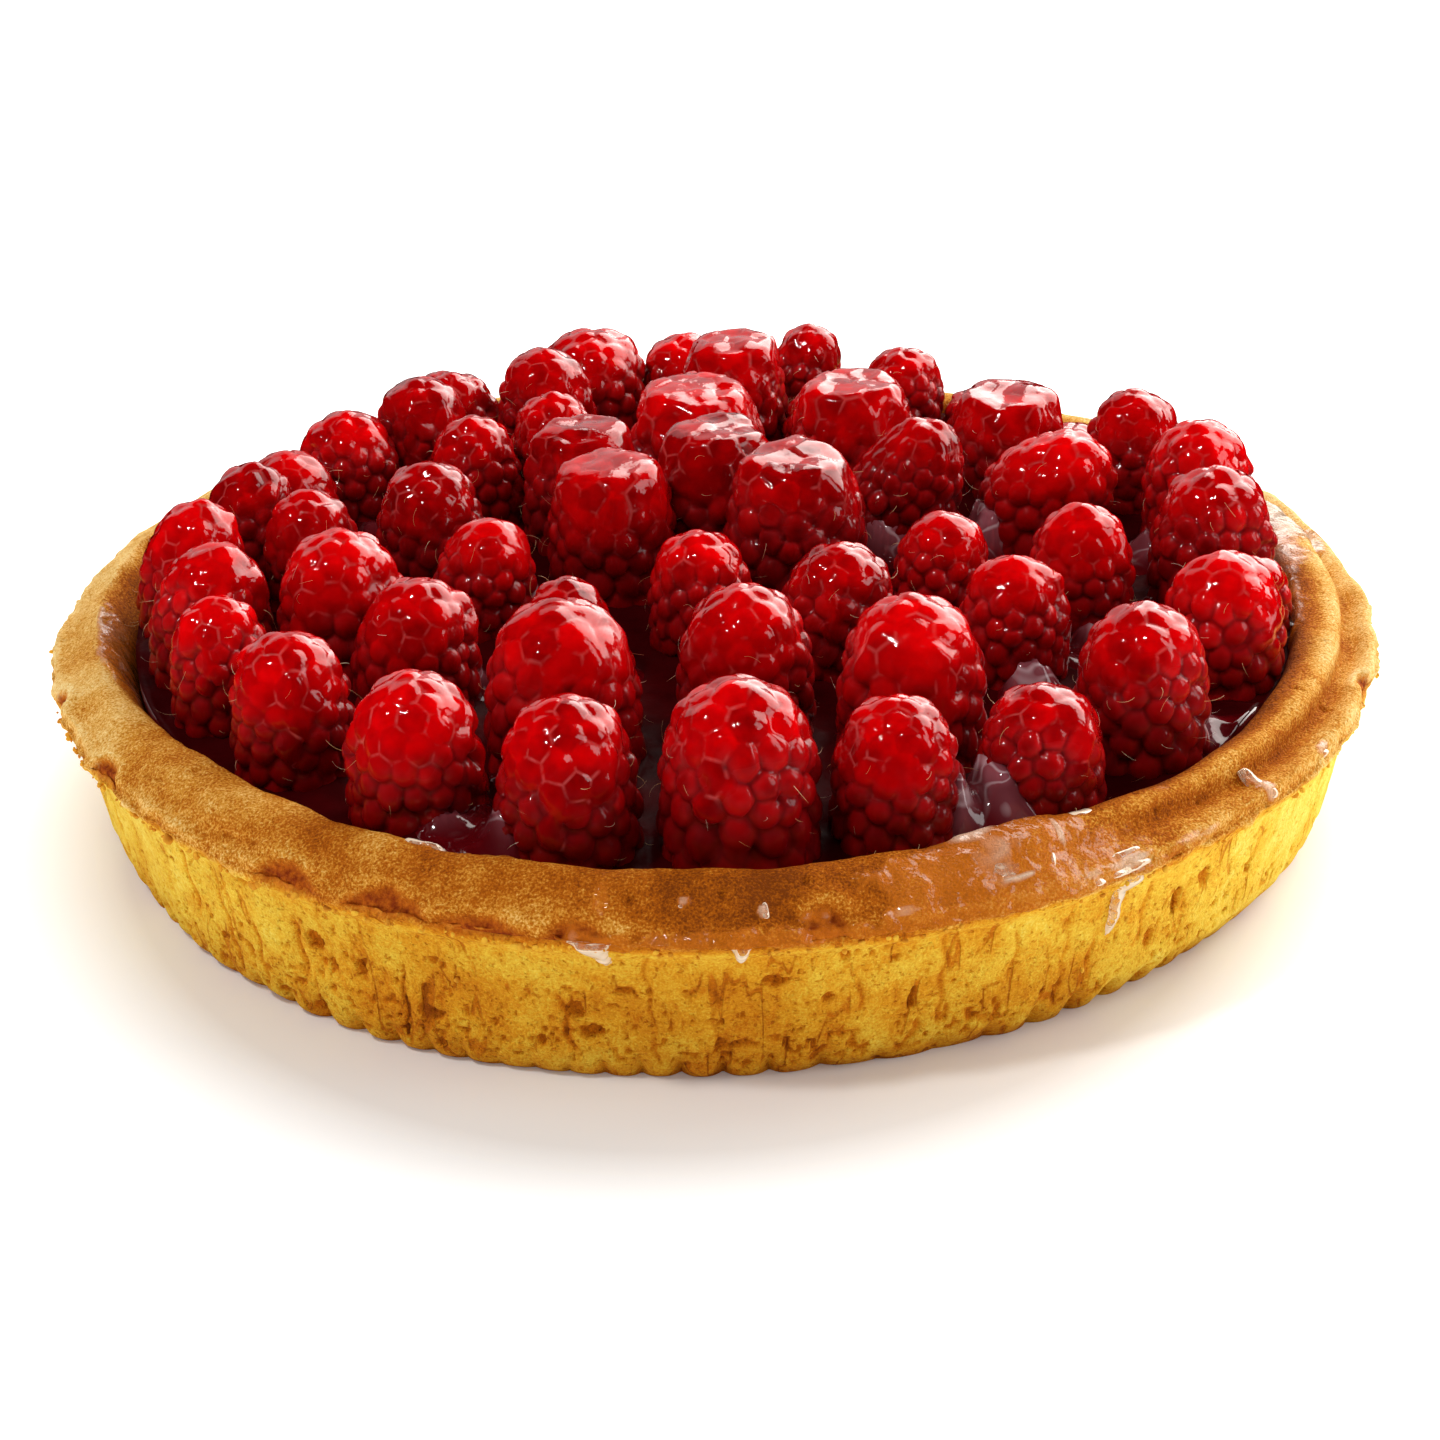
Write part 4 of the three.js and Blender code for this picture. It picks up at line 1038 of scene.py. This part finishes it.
def jellyHeight(x, y, outlines):
    # the jelly's level in mm: it creeps up each berry and the crust, more where two berries are near
    shape = fillingShape
    gap, second = (np.maximum(0, values) for values in berryGaps(x, y, outlines))
    spots = np.stack([x, y, np.full_like(x, 27)], -1)
    rise = shape["climb"] * np.exp(-gap / shape["reach"]) * (0.35 + 0.65 * np.exp(-second / 4))
    wall = shape["atWall"] * np.exp(-np.maximum(0, shape["edge"] - np.hypot(x, y)) / shape["wallReach"])
    # slow waves in the skin besides
    height = shape["level"] + rise + wall + 0.3 * lumps(spots, 8, 21) + 0.12 * lumps(spots, 2.6, 22)
    for px, py, reach, lift in shape["pools"]:
        height = height + lift * (1 - smoothShare(np.hypot(x - px, y - py), 0.4 * reach, reach))
    return height


def makeFilling(material, outlines):
    shape = fillingShape
    turn, x, y = roundGrid(shape["edge"], shape["cell"], shape["steps"])
    height = jellyHeight(x, y, outlines)
    points, faces = closedDisc(turn, x, y, height, shape["footRadius"], shape["footLevel"])
    print("filling:", len(faces), "triangles")
    return makePiece("setFilling", points, faces, material, None, ["filling"])


def jellyMaterial():
    # Set fruit jelly over a dark filling, cooled so that its skin is smooth.
    # It gives the eye a near-black red with wet lights.
    material, tree, where = startMaterial("setJelly")
    # cloudiness 6 mm across, ripples 3 mm
    cloudy = addNode(tree, "TexNoise", {"Vector": where, "Scale": 1 / (6 * mm), "Detail": 3})
    ripple = addNode(tree, "TexNoise", {"Vector": where, "Scale": 1 / (3 * mm), "Detail": 2})
    colour = addNode(tree, "Mix", {"Factor": cloudy, "A": hexColour("#200102"), "B": hexColour("#480306")},
                     data_type="RGBA")
    bump = addNode(tree, "Bump", {"Height": ripple, "Strength": 0.25, "Distance": 1 * mm})
    shader = addNode(tree, "BsdfPrincipled", {
        "Base Color": colour, "Roughness": 0.4, "IOR": 1.4, "Specular IOR Level": 0.02, "Normal": bump})
    addNode(tree, "OutputMaterial", {"Surface": shader})
    return material


# poured glaze: webs between berries, and drips down the crust

def makeWebs(material, outlines):
    # one thin body under the whole top, which comes up through the jelly where glaze hangs
    shape = webShape
    edge = fillingShape["edge"] - 0.1
    turn, x, y = roundGrid(edge, shape["cell"], shape["steps"])
    jelly = jellyHeight(x, y, outlines)
    gap, second = (np.maximum(0, values) for values in berryGaps(x, y, outlines))
    spots = np.stack([x, y, np.full_like(x, 5)], -1)
    amount = 0.6 * smoothShare(lumps(spots, 13, 61), 0, 0.6) * smoothShare(np.hypot(x, y + 84), 20, 34)
    for px, py, reach, share in shape["places"]:
        near = 1 - smoothShare(np.hypot(x - px, y - py), 0.5 * reach, reach)
        amount = np.maximum(amount, share * near)
    close = 0.5 + 0.5 * np.exp(-gap / 0.9)
    rise = shape["lift"] * amount * np.exp(-(gap + second) / shape["hang"]) * close
    for px, py, reach, lift in shape["skins"]:
        far = np.hypot(x - px, y - py) / reach + 0.12 * lumps(spots, 5, 63)
        rise = np.maximum(rise, lift * (1 - smoothShare(far, 0.4, 1)) * (0.15 + 0.65 * np.exp(-gap / 1.6)))
    rise = rise + 0.2 * smoothShare(rise, 0.5, 2) * lumps(spots, 6, 62)
    points, faces = closedDisc(turn, x, y, jelly - shape["sunk"] + rise, edge, shape["footLevel"])
    veil = np.concatenate([smoothShare(rise, 1, 5).reshape(-1), np.zeros(shape["steps"] + 2)])
    print("webs:", len(faces), "triangles")
    return makePiece("glazeWebs", points, faces, material, {"veil": veil})


dripShape = {
    "rows": 32,
    "columns": 18,
    "wallRadius": 105,  # mm, where most of them run
    "sunk": 0.8,        # mm that each reaches into the crust
    "lowest": 0.1,      # mm above the floor
    # turn in degrees, place at the top and at the foot, width at top and foot, thickness and lean in mm
    "drips": [(260.4, 5.6, 4, 4.2, 2.2, 0.8, 1.8), (271.5, 5.6, 4.7, 1.5, 2, 1.1, -0.4),
              (302.6, 5.5, 3.35, 3.4, 1.5, 1.1, -1.8), (300.8, 6.9, 6.2, 5, 4, 0.5, 0.6),
              (317.9, 8.3, 6.5, 1.2, 2.2, 0.8, 0.7), (326.8, 7, 6.4, 2.2, 2, 0.6, 0),
              (273.2, 7.8, 7.3, 0.6, 1, 0.4, 0), (267.1, 8.1, 7.7, 0.9, 1.2, 0.4, 0),
              (283.4, 7.2, 6.9, 3, 2.4, 0.3, 0), (300, 10.5, 9.5, 8, 4, 0.45, 1),
              (296.6, 9.4, 7.6, 2.6, 1.2, 0.6, -1.5), (290.2, 10.6, 9.3, 7, 5, 0.35, 1),
              (292.4, 9.2, 7.3, 7, 4, 0.3, 1), (302.4, 7.3, 6.3, 7, 6, 0.6, 0),
              (299, 6.7, 6.1, 2.6, 2.2, 0.4, 0), (245.2, 11, 9.9, 7, 5, 0.7, 0),
              (45, 5.6, 4.2, 2, 1.6, 1.2, 0.4), (70, 7.5, 6.3, 2, 2.4, 0.7, 0),
              (160, 5.6, 4, 2.4, 1.6, 1.2, -0.5), (120, 8.8, 7.4, 1.6, 2.4, 0.6, 0.3)],
}


def makeDrips(material, grid):
    # each drip is a thick sheet laid on the crust from its top place to its foot
    shape = dripShape
    across, along = np.linspace(-1.4, 1.4, shape["columns"]), np.linspace(0, 1, shape["rows"])
    points, faces, count = [], [], 0
    for degrees, start, end, wideTop, wideFoot, thick, lean in shape["drips"]:
        v, u = np.meshgrid(along, across, indexing="ij")
        half = 0.5 * (wideTop + (wideFoot - wideTop) * v ** 0.7)
        place = start + (end - start) * (v * 1.16 - 0.08)
        turns = degrees + (u * half + lean * v ** 1.5) / shape["wallRadius"] * 180 / math.pi
        spot, out = onCrust(grid, turns, place)
        edge = lumps(spot, 1.6, 81) * 0.22 + lumps(spot, 0.8, 82) * 0.1
        # rounded off at both ends, thicker towards the foot
        cap = np.maximum(0, (np.abs(2 * v - 1) - 0.62) / 0.38)
        inside = 1 - (np.abs(u) + edge) ** 2 - (cap + 0.6 * edge) ** 2
        swell = 0.65 + 0.5 * smoothShare(v, 0.4, 0.85)
        facets = 1 + 0.4 * lumps(spot, 2.4, 83) + 0.15 * lumps(spot, 1.1, 84)
        thickness = thick * swell * facets * np.sqrt(np.maximum(0, inside))
        height = np.where(inside > 0, thickness, 0.8 * inside)
        height = np.maximum(height, -0.5)
        top = spot + out * height[..., None]
        bottom = spot - shape["sunk"] * out
        xyz, triangles = closedSheet(top, bottom)
        points.append(xyz)
        faces.append(triangles + count)
        count += len(xyz)
    faces = np.concatenate(faces)
    points = np.concatenate(points)
    insideCad(points)
    points[:, 2] = np.maximum(points[:, 2], shape["lowest"])
    print("drips:", len(faces), "triangles")
    return makePiece("glazeDrips", points, faces, material)


def webMaterial():
    # Clear glaze hanging in a skin over red juice: dark, still and wet, with pale strings where it folds.
    # Where thick, its mauve is partly the glaze's own and partly a painted reflection of the light behind;
    # thin pale lines break it.
    material, tree, where = startMaterial("glazeOverJuice")
    # folds 8 mm apart
    fold = addNode(tree, "TexNoise", {"Vector": where, "Scale": 1 / (8 * mm), "Detail": 1,
                                      "Distortion": 0.6})
    thick = readAttributes(tree, "veil")["veil"]
    beside = addNode(tree, "Math", {0: fold, 1: 0.5}, operation="SUBTRACT")
    beside = addNode(tree, "Math", {0: beside}, operation="ABSOLUTE")
    string = addNode(tree, "MapRange", {"Value": beside, "From Min": 0.004, "From Max": 0.03,
                                        "To Min": 0.5, "To Max": 0})
    string = addNode(tree, "Math", {0: string, 1: thick}, operation="MULTIPLY")
    veil = addNode(tree, "MapRange", {"Value": fold, "From Min": 0.3, "From Max": 0.7, "To Min": 0.25,
                                      "To Max": 0.9})
    veil = addNode(tree, "Math", {0: veil, 1: thick}, operation="MULTIPLY")
    juice = addNode(tree, "Mix", {"Factor": veil, "A": hexColour("#56030A"), "B": hexColour("#AC626C")},
                    data_type="RGBA")
    colour = addNode(tree, "Mix", {"Factor": string, "A": juice, "B": hexColour("#E8D0D4")},
                     data_type="RGBA")
    shader = addNode(tree, "BsdfPrincipled", {
        "Base Color": colour, "Roughness": 0.12, "IOR": 1.45, "Specular IOR Level": 0.4,
        "Coat Weight": 0.7, "Coat Roughness": 0.03, "Coat IOR": 1.5})
    addNode(tree, "OutputMaterial", {"Surface": shader})
    return material


def glazeMaterial():
    # Neutral sugar glaze, poured warm and set: clear where thin, a little cloudy where it has folded.
    # It gives the eye a clear drop with cream-white lights, partly real gloss and partly painted highlight
    # in the cream folds.
    material, tree, where = startMaterial("pouredSugarGlaze")
    # cream folds, partly painted highlight, and ripples 1.6 mm across
    fold = addNode(tree, "TexNoise", {"Vector": where, "Scale": 1 / (1.6 * mm), "Detail": 3,
                                      "Distortion": 1.0})
    ripple = addNode(tree, "TexNoise", {"Vector": where, "Scale": 1 / (1.6 * mm), "Detail": 2})
    bump = addNode(tree, "Bump", {"Height": ripple, "Strength": 0.35, "Distance": 0.6 * mm})
    milkyAndHighlight = addNode(tree, "MapRange", {"Value": fold, "From Min": 0.45, "From Max": 0.68, "To Min": 0.04,
                                       "To Max": 0.45})
    facing = addNode(tree, "Fresnel", {"IOR": 1.42, "Normal": bump})
    amount = addNode(tree, "Math", {0: milkyAndHighlight, 1: facing}, operation="ADD", use_clamp=True)
    clear = addNode(tree, "BsdfTransparent", {"Color": (0.98, 0.93, 0.86, 1)})
    body = addNode(tree, "BsdfPrincipled", {
        "Base Color": hexColour("#FFE9CC"), "Roughness": 0.1, "IOR": 1.45, "Specular IOR Level": 0.7,
        "Normal": bump, "Coat Weight": 1, "Coat Roughness": 0.04, "Coat IOR": 1.6})
    both = addNode(tree, "MixShader", {0: amount, 1: clear, 2: body})
    addNode(tree, "OutputMaterial", {"Surface": both})
    return material


crumbShape = {
    "count": 240,
    "size": (0.18, 0.5),      # mm
    "onLip": 0.92,            # share that sits on the lip and not on the wall
    "bunched": 0.35,          # share that gathers
    "bunchedAt": (200, 262),  # degrees, where it does
    "large": 0.08,            # share that is half as large again
    "seed": 91,
}


def makeCrumbs(material, grid):
    # loose crumbs caught on the lip and the wall
    shape = crumbShape
    rng = np.random.default_rng(shape["seed"])
    bm = bmesh.new()
    bmesh.ops.create_icosphere(bm, subdivisions=2, radius=1)
    ball = np.array([vert.co[:] for vert in bm.verts])
    sides = np.array([[vert.index for vert in face.verts] for face in bm.faces])
    bm.free()
    points, faces = [], []
    for number in range(shape["count"]):
        onEdge = rng.random() < shape["onLip"]
        degrees = rng.uniform(0, 360)
        if rng.random() < shape["bunched"]:
            degrees = rng.uniform(*shape["bunchedAt"])
        place = rng.normal(5.1, 0.3) if onEdge else rng.uniform(2.4, 5)
        spot, out = onCrust(grid, np.array([degrees]), np.array([place]))
        size = rng.uniform(*shape["size"]) * (1.5 if rng.random() < shape["large"] else 1)
        stretch = rng.uniform(0.6, 1.3, 3)
        grain = ball * stretch * (1 + 0.35 * lumps(ball + number * 3.1, 0.9, 92))[:, None]
        points.append(spot + out * 0.25 * size + grain * size)
        faces.append(sides + number * len(ball))
    points = np.concatenate(points)
    insideCad(points)
    faces = np.concatenate(faces)
    print("crumbs:", len(faces), "triangles")
    return makePiece("looseCrumbs", points, faces, material)


def crumbMaterial():
    # Crumbs of the same shortcrust, broken open: dry and grainy.
    # They give the eye small pale grains along the browned lip.
    material, tree, where = startMaterial("brokenShortcrust")
    tone = addNode(tree, "TexNoise", {"Vector": where, "Scale": 1 / (4 * mm), "Detail": 2})
    grain = addNode(tree, "TexNoise", {"Vector": where, "Scale": 1 / (0.3 * mm), "Detail": 2})
    colour = addNode(tree, "ValToRGB", {"Fac": tone}, stops=[
        (0.3, "#F2BE3C"), (0.55, "#E09A2C"), (0.75, "#A85C14")])
    bump = addNode(tree, "Bump", {"Height": grain, "Strength": 0.6, "Distance": 0.3 * mm})
    shader = addNode(tree, "BsdfPrincipled", {
        "Base Color": colour, "Roughness": 0.85, "Specular IOR Level": 0.1, "Normal": bump})
    addNode(tree, "OutputMaterial", {"Surface": shader})
    return material


# floor, light and camera

studio = {
    "lens": 75,                  # mm on a 36 mm sensor
    "cameraBack": 0.459,         # metres
    "cameraUp": 0.2383,          # metres
    "lookDown": 27.44,           # degrees
    "roll": -1.39,               # degrees
    "shift": (0.0018, 0.0198),
    "aimLevel": 0.03,            # metres above the floor, where the lamps point
    "surround": 0.14,            # light from all round, on matte surfaces only
    "floorGlow": 0.07,           # of the paper beside the tart; 1 is white
    "floorGlowRamp": (0.11, 0.15),  # metres from the middle, between which it brightens
    "floorReach": 6,             # metres
    "lights": [
        # name, way from the tart, distance and size in metres, watts, colour, whether wet surfaces mirror it
        ("keySoftbox", (0.56, 0.64, 0.52), 1.05, (1.4, 0.9), 15, "#FFFAF4", True),
        ("backdrop", (0.0, 0.93, 0.37), 1.5, (2.6, 1.1), 4.8, "#FFFFFF", True),
        ("overhead", (0.12, -0.22, 0.96), 1.2, (1.9, 1.7), 4.6, "#FFFFFF", False),
        ("smallLamp", (-0.43, -0.27, 0.82), 1.0, (0.11, 0.11), 3, "#FFFFFF", True),
        ("leftFill", (-0.9, -0.1, 0.3), 1.3, (2.0, 1.0), 4.4, "#FFFFFF", False),
        ("rightFill", (0.92, -0.1, 0.25), 1.3, (2.0, 1.0), 3.4, "#FFFFFF", False),
        ("rightStrip", (0.86, -0.22, 0.46), 1.2, (0.35, 0.7), 2.2, "#FFFFFF", True),
    ],
}


def trackTo(away):
    # a lamp shines along its own -Z, so its +Z points away from what it lights
    back = away / np.linalg.norm(away)
    side = np.cross([0, 0, 1], back)
    side = side / np.linalg.norm(side) if np.linalg.norm(side) > 1e-6 else np.array([1.0, 0, 0])
    return np.stack([side, np.cross(back, side), back], -1)


def makeStudio():
    scene = bpy.context.scene
    scene.view_settings.view_transform = "Standard"
    camera = bpy.data.cameras.new("camera")
    camera.lens = studio["lens"]
    camera.sensor_width = 36
    camera.clip_start = 0.01
    camera.shift_x, camera.shift_y = studio["shift"]
    down, roll = math.radians(studio["lookDown"]), math.radians(studio["roll"])
    ahead = np.array([0, math.cos(down), -math.sin(down)])
    right = np.array([1.0, 0, 0])
    up = np.array([0, math.sin(down), math.cos(down)])
    across = math.cos(roll) * right + math.sin(roll) * up
    above = -math.sin(roll) * right + math.cos(roll) * up
    holder = bpy.data.objects.new("camera", camera)
    pose = Matrix.Identity(4)
    for row in range(3):
        pose[row][0], pose[row][1], pose[row][2] = across[row], above[row], -ahead[row]
    pose[0][3], pose[1][3], pose[2][3] = 0, -studio["cameraBack"], studio["cameraUp"]
    holder.matrix_world = pose
    scene.collection.objects.link(holder)
    scene.camera = holder

    for name, way, distance, size, power, colour, mirrored in studio["lights"]:
        lamp = bpy.data.lights.new(name, "AREA")
        lamp.shape = "RECTANGLE"
        lamp.size, lamp.size_y = size
        lamp.energy = power
        lamp.color = hexColour(colour)[:3]
        thing = bpy.data.objects.new(name, lamp)
        away = np.array(way) / np.linalg.norm(way)
        turned = Matrix(trackTo(away).tolist()).to_4x4()
        thing.matrix_world = Matrix.Translation(away * distance + [0, 0, studio["aimLevel"]]) @ turned
        thing.visible_glossy = mirrored
        scene.collection.objects.link(thing)

    # the surround is white to the eye, and dimmer as a light
    world = bpy.data.worlds.new("studio")
    scene.world = world
    world.use_nodes = True
    tree = world.node_tree
    seen = addNode(tree, "LightPath").outputs["Is Camera Ray"]
    strength = addNode(tree, "MapRange", {"Value": seen, "To Min": studio["surround"], "To Max": 1.0})
    background = tree.nodes["Background"]
    background.inputs["Color"].default_value = (1, 1, 1, 1)
    tree.links.new(strength.outputs[0], background.inputs["Strength"])
    world.cycles_visibility.glossy = False

    mesh = bpy.data.meshes.new("floor")
    wide = studio["floorReach"]
    mesh.from_pydata([(-wide, -wide, 0), (wide, -wide, 0), (wide, wide, 0), (-wide, wide, 0)], [],
                     [(0, 1, 2, 3)])
    # Matte white paper with a painted glow: weak beside the tart, where its shadow shows, and full further
    # out, where it turns plain white.
    material, tree, where = startMaterial("whitePaperFloor")
    shifted = addNode(tree, "VectorMath", {0: where, 1: (1.17, 0.97, 1), 2: (0.006, 0.006, 0)},
                      operation="MULTIPLY_ADD")
    away = addNode(tree, "VectorMath", {0: shifted}, operation="LENGTH")
    glow = addNode(tree, "MapRange", {
        "Value": away, "From Min": studio["floorGlowRamp"][0], "From Max": studio["floorGlowRamp"][1],
        "To Min": studio["floorGlow"], "To Max": 1.0})
    shader = addNode(tree, "BsdfPrincipled", {
        "Base Color": hexColour("#E8E7E5"), "Roughness": 0.9, "Specular IOR Level": 0.1,
        "Emission Color": (1, 1, 1, 1), "Emission Strength": glow})
    addNode(tree, "OutputMaterial", {"Surface": shader})
    mesh.materials.append(material)
    floor = bpy.data.objects.new("floor", mesh)
    floor.visible_glossy = False
    scene.collection.objects.link(floor)


makeStudio()
print("studio set")
crust = makeCrust(shortcrustMaterial())
raspberry = raspberryMaterial()
rng = np.random.default_rng(berryShape["seed"])
berries, total = [], 0
for nodeName in sorted(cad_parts):
    if nodeName.startswith("raspberry_"):
        piece, berry = makeRaspberry("glazed_" + nodeName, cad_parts[nodeName], raspberry, rng)
        berries.append(berry)
        total += len(piece.data.polygons)
print("raspberries:", total, "triangles")
makeHairs(hairMaterial(), berries)
outlines = [berryOutline(berry, fillingShape["berriesAt"]) for berry in berries]
outlines = [outline for outline in outlines if outline]
makeFilling(jellyMaterial(), outlines)
makeWebs(webMaterial(), outlines)
makeDrips(glazeMaterial(), crust)
makeCrumbs(crumbMaterial(), crust)
